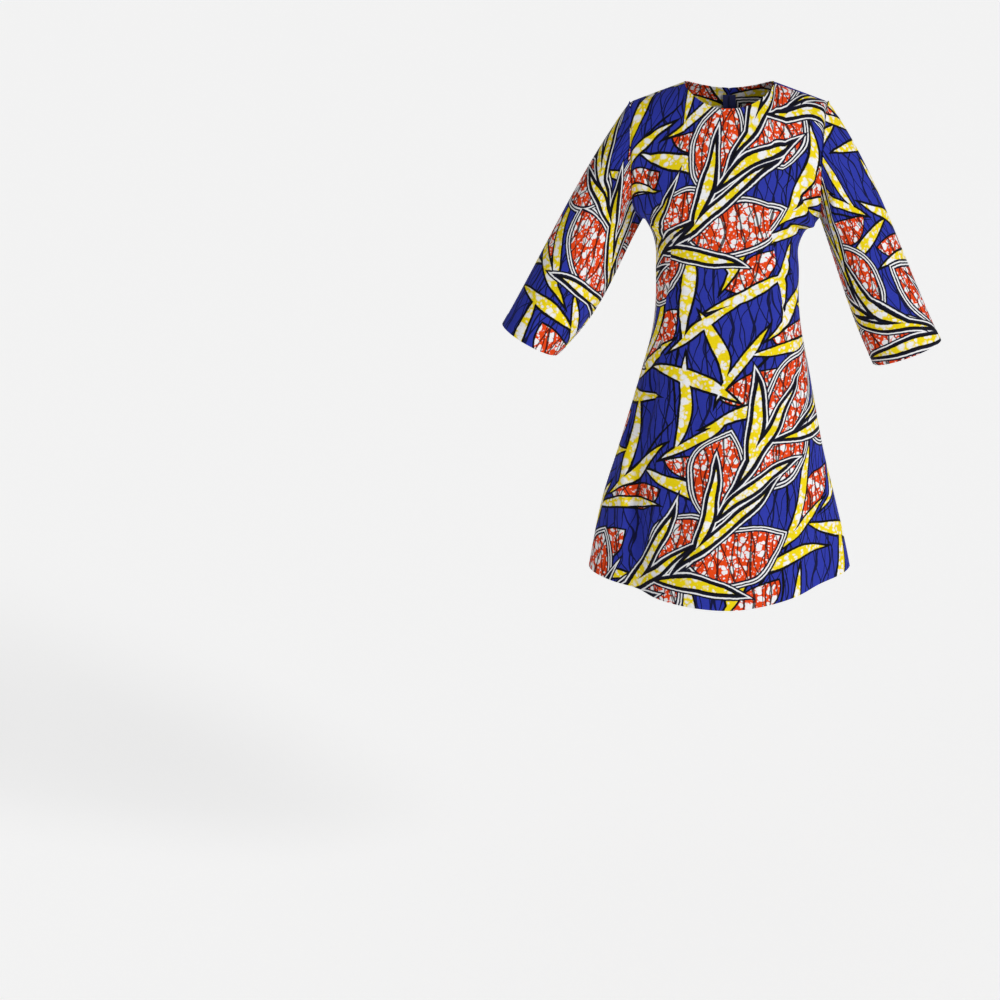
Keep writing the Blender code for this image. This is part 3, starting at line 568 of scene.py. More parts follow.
def ridge_height(x):
    """The shoulder seam's height, and the height it would round over to inside the neck."""
    slope = SHOULDER_TIP_DROP / (SHOULDER_HALF_WIDTH - NECK_HALF_WIDTH)
    inside = slope * (NECK_HALF_WIDTH**2 - x**2) / (2 * NECK_HALF_WIDTH)
    return np.where(np.abs(x) >= NECK_HALF_WIDTH, -slope * (np.abs(x) - NECK_HALF_WIDTH), inside)


def neck_height(x, front):
    """The neck edge's height at a distance from the centre."""
    drop = FRONT_NECK_DROP if front else BACK_NECK_DROP
    curve = FRONT_NECK_CURVE if front else BACK_NECK_CURVE
    return -drop * (1 - power(np.minimum(np.abs(x) / NECK_HALF_WIDTH, 1.0), curve))


def underarm_points(angle, seam_angle, front):
    """Points level with the armhole's lower quarter, whose seam angle goes from 180 down to 90."""
    seam_turn = np.radians(seam_angle)
    height = ARMHOLE_MIDDLE + (ARMHOLE_MIDDLE - ARMPIT) * np.cos(seam_turn)
    squareness = smooth_value(SECTIONS, "height", "squareness", height)
    width = chest_width(angle, height, seam_angle, squareness)
    x, round_share, flat_share = across_chest(angle, width, squareness)
    centre = centre_depth(height, ridge_height(x), front)
    edge = (ARMHOLE_FRONT if front else ARMHOLE_BACK) * np.sin(seam_turn)
    low = smooth_step((ARMHOLE_MIDDLE - height) / (ARMHOLE_MIDDLE - ARMPIT))
    share = low * round_share + (1 - low) * flat_share
    depth = edge + (centre - edge) * share
    if front:
        depth = depth + bust_offset(x, height) * np.abs(np.cos(np.radians(angle)))
    height = np.broadcast_to(height, x.shape)
    return np.stack([x, -depth if front else depth, height], axis=-1)


def shoulder_points(angle, share, front):
    """Points between the armhole's middle (share 0) and the shoulder seam or neck edge (share 1)."""
    width = by_side(angle, ARMHOLE_SEAM, "angle", 90 * (1 - share))
    x, _, flat_share = across_chest(angle, width, SECTIONS[-1].squareness)
    ridge = ridge_height(x)
    reach = (neck_height(x, front) - ARMHOLE_MIDDLE) / (ridge - ARMHOLE_MIDDLE)
    to_neck = np.arcsin(np.minimum(power(reach, ARMHOLE_CURVE / 2), 1.0)) / (math.pi / 2)
    top = np.where(np.abs(x) < NECK_HALF_WIDTH, to_neck, 1.0)
    lift = np.radians(90 * share * top)
    rise = power(np.sin(lift), 2 / ARMHOLE_CURVE)
    height = ARMHOLE_MIDDLE + (ridge - ARMHOLE_MIDDLE) * rise
    edge = (ARMHOLE_FRONT if front else ARMHOLE_BACK) * power(np.cos(lift), 2 / ARMHOLE_CURVE)
    depth = edge + (centre_depth(height, ridge, front) - edge) * flat_share
    if front:
        faded = np.cos(np.radians(90 * share)) ** 2
        depth = depth + bust_offset(x, height) * np.abs(np.cos(np.radians(angle))) * faded
    return np.stack([x, -depth if front else depth, height], axis=-1)


def neck_angle():
    """The angle of the column that ends at the side neck point."""
    share = NECK_HALF_WIDTH / SHOULDER_HALF_WIDTH
    return math.degrees(math.asin(share ** (SECTIONS[-1].squareness / 2)))


def quarter_columns():
    """Column places from the centre line (0) out to the side seam (1), closer together at the seam."""
    neck = neck_angle() / 90
    inside = [neck * math.sin(math.pi / 2 * i / NECK_COLUMNS) for i in range(NECK_COLUMNS)]
    outside = [neck + (1 - neck) * i / SHOULDER_COLUMNS for i in range(SHOULDER_COLUMNS + 1)]
    near_seam = [outside[-2] + (1 - outside[-2]) * share for share in SEAM_COLUMNS]
    return np.array(inside + outside[:-1] + near_seam + [1.0])


def panel_grid(angles, front):
    """A panel's outer points, rows from the hem up, for each row's column angles."""
    shares = 1 - (1 - np.arange(SKIRT_ROWS) / SKIRT_ROWS) ** SKIRT_ROW_CROWDING
    seam_angles = 180 - 90 * np.arange(UNDERARM_ROWS) / UNDERARM_ROWS
    last = np.arange(SHOULDER_ROWS + 1) / SHOULDER_ROWS
    low = SKIRT_ROWS
    high = SKIRT_ROWS + UNDERARM_ROWS
    skirt = skirt_points(angles[:low], shares[:, None], front)
    underarm = underarm_points(angles[low:high], seam_angles[:, None], front)
    shoulder = shoulder_points(angles[high:], last[:, None], front)
    return np.concatenate([skirt, underarm, shoulder], axis=0)


def darted_panel(places, front, turn_of, darts):
    """A panel with one column drawn onto each dart's line, the cloth each dart takes in, and its groove."""
    count = SKIRT_ROWS + UNDERARM_ROWS + SHOULDER_ROWS + 1
    angles = np.repeat(turn_of(places)[None, :], count, axis=0)
    grid = panel_grid(angles, front)
    numbers = np.arange(len(places))
    order = 1 if grid[0, -1, 0] > grid[0, 0, 0] else -1
    jump = np.zeros((count, len(places) - 1))
    groove = np.zeros((count, len(places)))
    base = angles[0]
    still = np.zeros(count)
    knots = [(base.min(), still), (base.max(), still)]
    if front:
        knots.append((0.0, still))
    for dart in darts:
        down = (dart.z - grid[..., 2]) / (dart.z - dart.to_z)
        line = dart.x + (dart.to_x - dart.x) * np.clip(down, -DART_OVERRUN, 1 + DART_OVERRUN)
        beside = (grid[..., 0] - line) * order
        target = np.array([np.interp(0, b, a) for b, a in zip(beside, angles)])
        share = np.array([np.interp(0, b, d) for b, d in zip(beside, down)])
        sewn_rows = (share > 0) & (share < 1)
        middle = int(np.argmin(np.abs(angles[0] - np.mean(target[sewn_rows]))))
        drawn = smooth_step((share + DART_RUNOUT) / DART_RUNOUT)
        drawn = drawn * smooth_step((1 + DART_RUNOUT - share) / DART_RUNOUT)
        knots.append((base[middle], (target - base[middle]) * drawn))
        full = np.sin(math.pi * np.clip(share, 0, 1)) ** DART_FULLNESS
        outer = numbers[:-1] >= middle if order * dart.x > 0 else numbers[:-1] < middle
        jump += np.where(outer, math.copysign(1, dart.x), 0)[None, :] * (dart.intake * full)[:, None]
        away = np.abs(numbers - middle)
        puff = DART_PUFF * np.exp(-((away / DART_PUFF_COLUMNS) ** 2))
        cross = np.where(away == 0, -1.0, np.where(away == 1, -DART_LIP, puff))
        groove += DART_GROOVE * smooth_step(full * DART_DEEPENING)[:, None] * cross[None, :]
    knots.sort(key=lambda knot: knot[0])
    at = [knot[0] for knot in knots]
    shifts = np.array([knot[1] for knot in knots])
    moved = np.array([np.interp(base, at, shifts[:, row]) for row in range(count)])
    return panel_grid(angles + moved, front), jump, groove


def front_grid():
    """The front, from the wearer's right side seam to the left one."""
    quarter = quarter_columns()
    places = np.concatenate([-quarter[:0:-1], quarter])
    return darted_panel(places, True, lambda p: 90 * p, DARTS["front"])


def back_grid(side, name):
    """A back half, from the wearer's left to the right."""
    quarter = quarter_columns()
    places = quarter[::-1] if side > 0 else quarter
    grid, jump, groove = darted_panel(places, False, lambda p: 180 - side * 90 * p, DARTS[name])
    grid[:, -1 if side > 0 else 0, 0] = 0.0
    return grid, jump, groove


def armhole_points(seam_angle, side):
    """Points of the armhole: 0 at the shoulder tip, 90 at the front, 180 at the armpit, 270 at the back."""
    points = []
    for angle in seam_angle:
        front = angle <= 180
        low = angle if front else 360 - angle
        column = np.array(side * 90.0) if front else np.array(180 - side * 90.0)
        if low >= 90:
            points.append(underarm_points(column, np.array(low), front))
        else:
            points.append(shoulder_points(column, np.array(1 - low / 90), front))
    return np.array(points).reshape(-1, 3)


def sleeve_grid(sleeve):
    """A sleeve's outer points, rows from the cuff up, columns from the underarm seam round to it again."""
    count = 4 * SLEEVE_QUARTER_COLUMNS
    angles = 180 + 360 * np.arange(count + 1) / count
    near = np.array(SEAM_COLUMNS) * 360 / count
    angles = np.sort(np.concatenate([angles, 180 + near, 540 - near]))
    angles = angles[::-1] if sleeve.side < 0 else angles
    turn = np.radians(angles)[:, None]
    side = sleeve.side
    start = armhole_points(np.mod(angles, 360), side)
    tilt, lean = math.radians(sleeve.cuff_tilt), math.radians(sleeve.lean)
    up_out = np.array([side * math.cos(tilt), 0.0, math.sin(tilt)])
    axis = np.array([side * math.sin(lean), 0.0, -math.cos(lean)])
    outward = np.array([side * CAP_OUT, 0.0, -CAP_DOWN])
    centre = np.array([side * sleeve.out, -sleeve.forward, -sleeve.down])
    across = np.array([0.0, -sleeve.half_depth, 0.0])
    end = centre + up_out * sleeve.half_width * np.cos(turn) + across * np.sin(turn)
    chord = end - start
    length = np.linalg.norm(chord, axis=1, keepdims=True)
    rounding = sleeve.cap * (0.5 + 0.5 * np.cos(turn))
    leave = unit(unit(chord) * (1 - rounding) + outward * rounding) * length
    arrive = unit(unit(chord) + axis) * length
    rows = []
    for i in range(SLEEVE_ROWS, -1, -1):
        t = (i / SLEEVE_ROWS) ** SLEEVE_ROW_CROWDING
        point = start + chord * smooth_step(t) + leave * t * (1 - t) ** 2 - arrive * t * t * (1 - t)
        swell = sleeve.belly * math.sin(math.pi * t**BELLY_LOW) * smooth_step(-np.cos(turn))
        rows.append(point - up_out * swell)
    return np.array(rows)


def relaxed(grid, rounds):
    """The grid with its inner points eased towards their neighbours, its edges kept."""
    for _ in range(rounds):
        inner = grid[1:-1, 1:-1]
        around = grid[:-2, 1:-1] + grid[2:, 1:-1]
        inner += (around / 2 - inner) * EASING_SHARE
    return grid


def normals_of(grid, ring=False):
    """The outward direction at each point of a grid."""
    along = np.gradient(grid, axis=0)
    across = np.gradient(grid, axis=1)
    if ring:
        seam = (grid[:, 1] - grid[:, 0]) + (grid[:, -1] - grid[:, -2])
        across[:, 0] = seam
        across[:, -1] = seam
    return unit(np.cross(across, along))


def branch_leaves(branch):
    """A branch's leaves along its stem and out to both sides, with pods between them and veins beyond."""
    leaves = []
    run = np.array(REPEAT)
    length = np.linalg.norm(run)
    heading = math.atan2(run[1], run[0])
    beside = np.array([-math.sin(heading), math.cos(heading)])

    def leaf(kind, share, lean, size, width, bend, out):
        turn = 4 * math.pi * share + branch.phase
        place = np.array([branch.x, 0.0]) + run * share + beside * branch.wave * math.sin(turn)
        turn = heading + math.atan(branch.wave * 4 * math.pi / length * math.cos(turn)) + lean
        middle = place + (size / 2 + out) * np.array([math.cos(turn), math.sin(turn)])
        leaves.append(Leaf(kind, middle[0], middle[1], turn, size, width, bend))

    step = 1 / branch.count
    sides = 0
    for k in range(branch.count):
        size = length * step * STEM_LEAF_LENGTH
        leaf(branch.kind, k * step, 0.0, size, branch.width * STEM_LEAF_WIDTH, 0.0, STEM_LEAF_OUT)
        for side, start in SIDE_STARTS.items():
            share = (k + start) * step
            uneven = math.sin(RHYTHM[0] * k + branch.phase + RHYTHM[1] * side)
            lean = side * math.radians(branch.spread * (1 + UNEVEN_LEAN * uneven))
            size = branch.length * (1 + UNEVEN_LENGTH * math.sin(RHYTHM[2] * k + branch.phase * side))
            width = branch.width * (1 + UNEVEN_WIDTH * uneven)
            leaf(branch.kind, share, lean, size, width, -side * width * LEAF_BEND, 0.0)
            sides += 1
            if sides % branch.pod_every == 0:
                share_of_pod = share + POD_START * step
                size = branch.pod_length * (1 + UNEVEN_POD * uneven)
                lean = lean * POD_LEAN
                leaf(branch.pod_kind, share_of_pod, lean, size, branch.pod_width, POD_BEND * side, POD_OUT)
            if branch.kind == "plain" and k % 2:
                turn = side * VEIN_SPREAD + VEIN_TURN
                leaf("vein", share, turn, VEIN_LENGTH, VEIN_WIDTH, VEIN_BEND * side, VEIN_OUT)
    return leaves


def leaf_arcs(leaf):
    """The two arcs of a leaf's outline: their centres, radii, and 1 where the leaf lies inside the arc."""
    half = leaf.length / 2
    for side in (1, -1):
        bulge = leaf.width / 2 + side * leaf.bend
        radius = (half**2 + bulge**2) / (2 * bulge)
        beside = side * (bulge - radius)
        x = leaf.x - beside * math.sin(leaf.heading)
        y = leaf.y + beside * math.cos(leaf.heading)
        yield (x, y, 0.0), abs(radius), radius > 0


def crease_offset(grid, normals, calm):
    """How far the creases move each point out, seen square on from the front or the back."""
    total = np.zeros(grid.shape[:2])
    for face, creases in CREASES.items():
        sign = -1 if face == "front" else 1
        seen = smooth_step(normals[..., 1] * sign * CREASE_FACING)
        for crease in creases:
            run = np.array([crease.to_x - crease.x, crease.to_z - crease.z])
            length = np.linalg.norm(run)
            run = run / length
            dx = grid[..., 0] - crease.x
            dz = grid[..., 2] - crease.z
            along = (dx * run[0] + dz * run[1]) / length
            beside = -dx * run[1] + dz * run[0]
            beside = beside - crease.bow * (1 - (2 * along - 1) ** 2)
            taper = smooth_step(along / CREASE_START) * smooth_step((1 - along) / CREASE_END)
            total += crease.depth * taper * np.exp(-((beside / crease.width) ** 2)) * seen
    return total * CREASE_GAIN * calm


def cell_corners(values, jump):
    """A grid's values at each cell's four corners, with a jump added to all corners of a cell."""
    corners = [
        values[:-1, :-1] + jump[:-1],
        values[:-1, 1:] + jump[:-1],
        values[1:, 1:] + jump[1:],
        values[1:, :-1] + jump[1:],
    ]
    return np.stack(corners, axis=-1).reshape(-1, 4)


def rim_strips(index, below, across, up, jump):
    """The faces of a shell's four rims, with their corners' places on the flat cloth."""
    lines = (
        (index[0], across[0], up[0], False),
        (index[-1], across[-1], up[-1], True),
        (index[:, 0], across[:, 0] + jump[:, 0], up[:, 0], True),
        (index[:, -1], across[:, -1] + jump[:, -1], up[:, -1], False),
    )
    faces, flat_across, flat_up = [], [], []
    for line, u, v, flip in lines:
        a, b = line[:-1], line[1:]
        strip = np.stack([a, a + below, b + below, b], axis=-1)
        at = np.stack([u[:-1], u[:-1], u[1:], u[1:]], axis=-1)
        high = np.stack([v[:-1], v[:-1], v[1:], v[1:]], axis=-1)
        if flip:
            strip, at, high = strip[:, ::-1], at[:, ::-1], high[:, ::-1]
        faces.append(strip)
        flat_across.append(at)
        flat_up.append(high)
    return np.concatenate(faces), np.concatenate(flat_across), np.concatenate(flat_up)


def shell(name, grid, normals, thickness, across, up, jump, surface):
    """A thin cloth body between the grid and its inner side, with its flat cut as UVs and its print."""
    rows, columns = grid.shape[:2]
    inner = grid - normals * thickness[..., None]
    vertices = np.concatenate([grid.reshape(-1, 3), inner.reshape(-1, 3)])
    index = np.arange(rows * columns).reshape(rows, columns)
    quads = cell_corners(index, np.zeros(jump.shape, int))
    below = rows * columns
    rims, rim_across, rim_up = rim_strips(index, below, across, up, jump)
    faces = np.concatenate([quads, quads[:, ::-1] + below, rims])
    u = cell_corners(across, jump)
    v = cell_corners(up, np.zeros(jump.shape))
    u = np.concatenate([u, u[:, ::-1], rim_across]).ravel()
    v = np.concatenate([v, v[:, ::-1], rim_up]).ravel()
    mesh = bpy.data.meshes.new(name)
    mesh.from_pydata(vertices.tolist(), [], faces.tolist())
    mesh.update()
    uv = mesh.uv_layers.new(name="flat_cut")
    uv.data.foreach_set("uv", np.stack([u, v], axis=-1).astype(np.float32).ravel())
    mesh.materials.append(surface)
    mesh.shade_smooth()
    mesh.set_sharp_from_angle(angle=math.radians(SMOOTH_UNDER))
    made = bpy.data.objects.new(name, mesh)
    bpy.context.scene.collection.objects.link(made)
    return made


def add(tree, kind, inputs=None, output=0, **settings):
    """Add a node with its settings, and give one of its outputs. An input is given a value or an output."""
    node = tree.nodes.new(kind)
    for name, value in settings.items():
        setattr(node, name, value)
    for socket, value in (inputs or {}).items():
        if isinstance(value, bpy.types.NodeSocket):
            tree.links.new(value, node.inputs[socket])
        else:
            node.inputs[socket].default_value = value
    return node.outputs[output]


def outline_distances(tree, flat):
    """For each kind of leaf, the distance from the nearest one's outline on the repeating cloth."""
    nearest = {}
    half = (REPEAT[0] / 2, REPEAT[1] / 2)
    for branch in BRANCHES:
        for leaf in branch_leaves(branch):
            high = (leaf.x + half[0], leaf.y + half[1], 1.0)
            low = (leaf.x - half[0], leaf.y - half[1], -1.0)
            place = add(tree, "ShaderNodeVectorMath", {0: flat, 1: high, 2: low}, operation="WRAP")
            found = None
            for centre, radius, inside in leaf_arcs(leaf):
                away = add(tree, "ShaderNodeVectorMath", {0: place, 1: centre}, 1, operation="DISTANCE")
                order = {0: away, 1: radius} if inside else {0: radius, 1: away}
                arc = add(tree, "ShaderNodeMath", order, operation="SUBTRACT")
                if found is None:
                    found = arc
                else:
                    found = add(tree, "ShaderNodeMath", {0: found, 1: arc}, operation="MAXIMUM")
            if leaf.kind in nearest:
                both = {0: nearest[leaf.kind], 1: found}
                nearest[leaf.kind] = add(tree, "ShaderNodeMath", both, operation="MINIMUM")
            else:
                nearest[leaf.kind] = found
    return nearest


def resist(tree, flat, sizes):
    """Where wax bubbles kept the dye off: round cells of two sizes, each with its own radius."""
    found = None
    for scale, least, more, soft in sizes:
        cell = {"Vector": flat, "Scale": scale}
        away = add(tree, "ShaderNodeTexVoronoi", cell)
        chance = add(tree, "ShaderNodeTexVoronoi", cell, 1)
        radius = add(tree, "ShaderNodeMath", {0: chance, 1: more, 2: least}, operation="MULTIPLY_ADD")
        inside = add(tree, "ShaderNodeMath", {0: radius, 1: away}, operation="SUBTRACT")
        spot = add(tree, "ShaderNodeMapRange", {0: inside, 1: -soft, 2: soft})
        both = {0: found, 1: spot}
        found = spot if found is None else add(tree, "ShaderNodeMath", both, operation="MAXIMUM")
    return found


def hairlines(tree, flat):
    """Where the wax cracked: fine wavy lines that run up the cloth and cross."""
    found = None
    for turn, scale in HAIRLINES:
        turned = add(tree, "ShaderNodeMapping", {0: flat, 2: (0.0, 0.0, math.radians(turn))})
        wave = add(tree, "ShaderNodeTexWave", {"Vector": turned, "Scale": scale, **HAIRLINE_SHAPE}, 1)
        line = add(tree, "ShaderNodeMapRange", {0: wave, 1: HAIRLINE_EDGE[0], 2: HAIRLINE_EDGE[1]})
        both = {0: found, 1: line}
        found = line if found is None else add(tree, "ShaderNodeMath", both, operation="MAXIMUM")
    return found


def printed_cotton(cloth, colours):
    """Plain-woven cotton, wax resist printed on both sides.

    The wax gives the eye crisp outlines, undyed bubbles and dark crackle; the weave keeps it all matte.
    """
    made = bpy.data.materials.new("wax_printed_cotton")
    made.use_nodes = True
    tree = made.node_tree
    shader = tree.nodes["Principled BSDF"]
    flat = add(tree, "ShaderNodeUVMap", uv_map="flat_cut")
    # Hand-cut outlines sway a little over a hand's width, and their edges waver by half a millimetre
    drawn = flat
    for scale, sway in OUTLINE_SWAY:
        noise = add(tree, "ShaderNodeTexNoise", {"Vector": flat, "Scale": scale, "Detail": 1.0}, 1)
        move = {0: noise, 1: (sway, sway, 0.0), 2: drawn}
        drawn = add(tree, "ShaderNodeVectorMath", move, operation="MULTIPLY_ADD")
    distance = outline_distances(tree, drawn)
    # Bubbles are drawn out of round by the cloth's own bleed
    scale, reach = BUBBLE_BLEED
    noise = add(tree, "ShaderNodeTexNoise", {"Vector": flat, "Scale": scale, "Detail": 1.0}, 1)
    move = {0: noise, 1: (reach, reach, 0.0), 2: flat}
    bled = add(tree, "ShaderNodeVectorMath", move, operation="MULTIPLY_ADD")
    crack = {0: hairlines(tree, flat), 1: HAIRLINE_STRENGTH}
    cracked = add(tree, "ShaderNodeMath", crack, operation="MULTIPLY")

    cloths = dict(colours)
    for name, sizes in BUBBLES.items():
        mix = {0: resist(tree, bled, sizes), 6: colours[name], 7: colours["white"]}
        cloths[name] = add(tree, "ShaderNodeMix", mix, 2, data_type="RGBA")
    for name in ("blue", "orange"):
        mix = {0: cracked, 6: cloths[name], 7: colours["black"]}
        cloths[name] = add(tree, "ShaderNodeMix", mix, 2, data_type="RGBA")

    colour = cloths["blue"]
    for layer in LAYERS:
        field = distance[layer.field]
        over = {0: field, 1: layer.low - PRINT_EDGE, 2: layer.low + PRINT_EDGE}
        under = {0: field, 1: layer.high + PRINT_EDGE, 2: layer.high - PRINT_EDGE}
        ends = {0: add(tree, "ShaderNodeMapRange", over), 1: add(tree, "ShaderNodeMapRange", under)}
        mask = add(tree, "ShaderNodeMath", ends, operation="MULTIPLY")
        mix = {0: mask, 6: colour, 7: cloths[layer.colour]}
        colour = add(tree, "ShaderNodeMix", mix, 2, data_type="RGBA")

    for stretch in SLUB_SCALES:
        along = add(tree, "ShaderNodeVectorMath", {0: flat, 1: stretch}, operation="MULTIPLY")
        slub = add(tree, "ShaderNodeTexNoise", {"Vector": along, "Scale": 1.0, "Detail": 1.0})
        dark = add(tree, "ShaderNodeMapRange", {0: slub, **SLUB_SHADES})
        colour = add(tree, "ShaderNodeVectorMath", {0: colour, 3: dark}, operation="SCALE")
    tree.links.new(colour, shader.inputs["Base Color"])
    for name, value in COTTON_FINISH.items():
        shader.inputs[name].default_value = value
    # Real threads lie 0.35 mm apart, and are drawn coarser here so that the weave shows
    weave = add(tree, "ShaderNodeTexChecker", {"Vector": flat, "Scale": 1 / cloth.thread}, 1)
    relief = {"Height": weave, "Strength": WEAVE_STRENGTH, "Distance": WEAVE_HEIGHT}
    bump = add(tree, "ShaderNodeBump", relief)
    tree.links.new(bump, shader.inputs["Normal"])
    return made


def cloth_surface():
    """The one printed cotton, made the first time that a panel needs it."""
    found = bpy.data.materials.get("wax_printed_cotton")
    if found:
        return found
    settings = bpy.context.scene.dress_print
    colours = {name: tuple(getattr(settings, name)) for name in PrintSettings.__annotations__}
    return printed_cotton(bpy.context.scene.dress_cloth, colours)


def edge_distances(grid):
    """Each point's distance along the cloth to the panel's left, right, top and bottom edges."""
    steps_across = np.linalg.norm(np.diff(grid, axis=1), axis=-1)
    steps_up = np.linalg.norm(np.diff(grid, axis=0), axis=-1)
    rows, columns = grid.shape[:2]
    from_left = np.concatenate([np.zeros((rows, 1)), np.cumsum(steps_across, axis=1)], axis=1)
    up = np.concatenate([np.zeros((1, columns)), np.cumsum(steps_up, axis=0)], axis=0)
    return {"left": from_left, "right": from_left[:, -1:] - from_left, "top": up[-1:] - up, "bottom": up}


def sewn(grid, distance, top_sewn):
    """How near each point is to a sewn edge, as 1 on it, and how calm the cloth is kept by it."""
    reach = bpy.context.scene.dress_cloth.seam_reach
    near = np.zeros(grid.shape[:2])
    calm = np.ones(grid.shape[:2])
    for edge, where in (("left", 1.0), ("right", 1.0), ("top", top_sewn)):
        near = np.maximum(near, np.exp(-((distance[edge] / reach) ** 2)) * where)
        calm *= 1 - np.exp(-((distance[edge] / SEAM_CALM) ** 2)) * where
    return near, calm


def hem_thickness(distance, free_edges):
    """The cloth's thickness: double where a hem or a facing is turned in at a free edge."""
    cloth = bpy.context.scene.dress_cloth
    turned = np.zeros(distance["left"].shape)
    for edge, where, depth in free_edges:
        turned = np.maximum(turned, (distance[edge] < depth) * where)
    return cloth.thickness * (1 + HEM_EXTRA * turned)


def make_cloth(name, grid, centre, print_place, jump, groove=0.0, ring=False):
    """One cloth piece with its seams, creases, hem and free edges, printed on its own flat cut."""
    cloth = bpy.context.scene.dress_cloth
    normals = normals_of(grid, ring)
    distance = edge_distances(grid)
    rise = 0.0 if ring else grid[:1, :, 2] - HEM_CENTRE
    across = distance["left"] - distance["left"][:, centre][:, None] + print_place[0]
    up = distance["bottom"] + rise + print_place[1]
    top_sewn = 1.0 if ring else (np.abs(grid[-1:, :, 0]) > NECK_HALF_WIDTH - NECK_END).astype(float)
    near, calm = sewn(grid, distance, top_sewn)
    out = groove - cloth.seam_roll * near + crease_offset(grid, normals, calm)
    grid = grid + normals * out[..., None]
    free = [("bottom", 1.0, cloth.hem_depth), ("top", 1 - top_sewn, cloth.neck_depth)]
    thickness = hem_thickness(distance, free)
    made = shell(name, grid, normals_of(grid, ring), thickness, across, up, jump, cloth_surface())
    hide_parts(name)
    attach(made, "dress")


class DRESS_OT_front(bpy.types.Operator):
    """Make the front panel"""

    bl_idname = "dress.make_front"
    bl_label = "Front"

    def execute(self, context):
        grid, jump, groove = front_grid()
        centre = grid.shape[1] // 2
        make_cloth("front", relaxed(grid, PANEL_EASING), centre, (0.0, 0.0), jump, groove)
        return {"FINISHED"}


class DRESS_OT_backs(bpy.types.Operator):
    """Make the two back panels"""

    bl_idname = "dress.make_backs"
    bl_label = "Backs"

    def execute(self, context):
        for side, name, centre in ((1, "back_left", -1), (-1, "back_right", 0)):
            grid, jump, groove = back_grid(side, name)
            place = (BACK_PRINT_PLACE[0] * side, BACK_PRINT_PLACE[1])
            make_cloth(name, relaxed(grid, PANEL_EASING), centre, place, jump, groove)
        return {"FINISHED"}


class DRESS_OT_sleeves(bpy.types.Operator):
    """Make the two sleeves"""

    bl_idname = "dress.make_sleeves"
    bl_label = "Sleeves"

    def execute(self, context):
        for sleeve in SLEEVES:
            grid = relaxed(sleeve_grid(sleeve), SLEEVE_EASING)
            rows, columns = grid.shape[:2]
            place = (SLEEVE_PRINT_PLACE[0] * sleeve.side, SLEEVE_PRINT_PLACE[1])
            make_cloth(sleeve.name, grid, columns // 2, place, np.zeros((rows, columns - 1)), ring=True)
        return {"FINISHED"}


def zip_material(finish, relief=None):
    """A zip part's own finish, with fine unevenness in its gloss and a surface of spots or of a relief."""
    made = bpy.data.materials.new(finish.name)
    made.use_nodes = True
    tree = made.node_tree
    shader = tree.nodes["Principled BSDF"]
    place = add(tree, "ShaderNodeTexCoord", None, 3)
    noise = add(tree, "ShaderNodeTexNoise", {"Vector": place, "Scale": finish.scale, "Detail": 4.0})
    light = linear(finish.colour)
    dark = [v * (1 - finish.unevenness) for v in light[:3]] + [1.0]
    shade = add(tree, "ShaderNodeMix", {0: noise, 6: dark, 7: light}, 2, data_type="RGBA")
    low, high = SPOT_RANGE
    ends = {0: noise, 1: low, 2: high, 3: finish.roughness - GLOSS_SPREAD, 4: finish.roughness + GLOSS_SPREAD}
    gloss = add(tree, "ShaderNodeMapRange", ends)
    height = relief(tree, place) if relief else noise
    raised = {"Height": height, "Strength": finish.strength, "Distance": finish.height}
    bump = add(tree, "ShaderNodeBump", raised)
    tree.links.new(shade, shader.inputs["Base Color"])
    tree.links.new(gloss, shader.inputs["Roughness"])
    tree.links.new(bump, shader.inputs["Normal"])
    return made


def herringbone(tree, place):
    """Ribs 1 mm wide that run up the tape, crossed by slanting threads."""
    ribs = add(tree, "ShaderNodeTexWave", {"Vector": place, "Scale": TAPE_RIBS}, 1, bands_direction="X")
    across = {"Vector": place, "Scale": TAPE_SLANT}
    slant = add(tree, "ShaderNodeTexWave", across, 1, bands_direction="DIAGONAL")
    return add(tree, "ShaderNodeMath", {0: ribs, 1: slant}, operation="MULTIPLY")


def new_piece(name, build, place, surface):
    """A hard piece modelled round the origin in its own frame, then put in its place."""
    bpy.ops.object.select_all(action="DESELECT")
    mesh = bpy.data.meshes.new(name)
    made = bpy.data.objects.new(name, mesh)
    bpy.context.scene.collection.objects.link(made)
    bpy.context.view_layer.objects.active = made
    made.select_set(True)
    bpy.ops.object.mode_set(mode="EDIT")
    build()
    bpy.ops.mesh.select_all(action="SELECT")
    bpy.ops.mesh.normals_make_consistent(inside=False)
    bpy.ops.object.mode_set(mode="OBJECT")
    point, off = place
    across = Vector((1.0, 0.0, 0.0))
    off = Vector(off)
    turn = Matrix((across, off, across.cross(off))).transposed().to_4x4()
    mesh.transform(Matrix.Translation(point) @ turn)
    mesh.materials.append(surface)
    bpy.ops.object.shade_smooth_by_angle(angle=math.radians(METAL_SMOOTH_UNDER))
    return made


def rounded_block(size, place, rounding):
    """Add a block with rounded edges to the piece in edit mode."""
    bpy.ops.mesh.select_all(action="DESELECT")
    bpy.ops.mesh.primitive_cube_add(size=1.0, location=place)
    bpy.ops.transform.resize(value=size, center_override=place)
    bpy.ops.mesh.bevel(offset=rounding, segments=3, affect="EDGES")


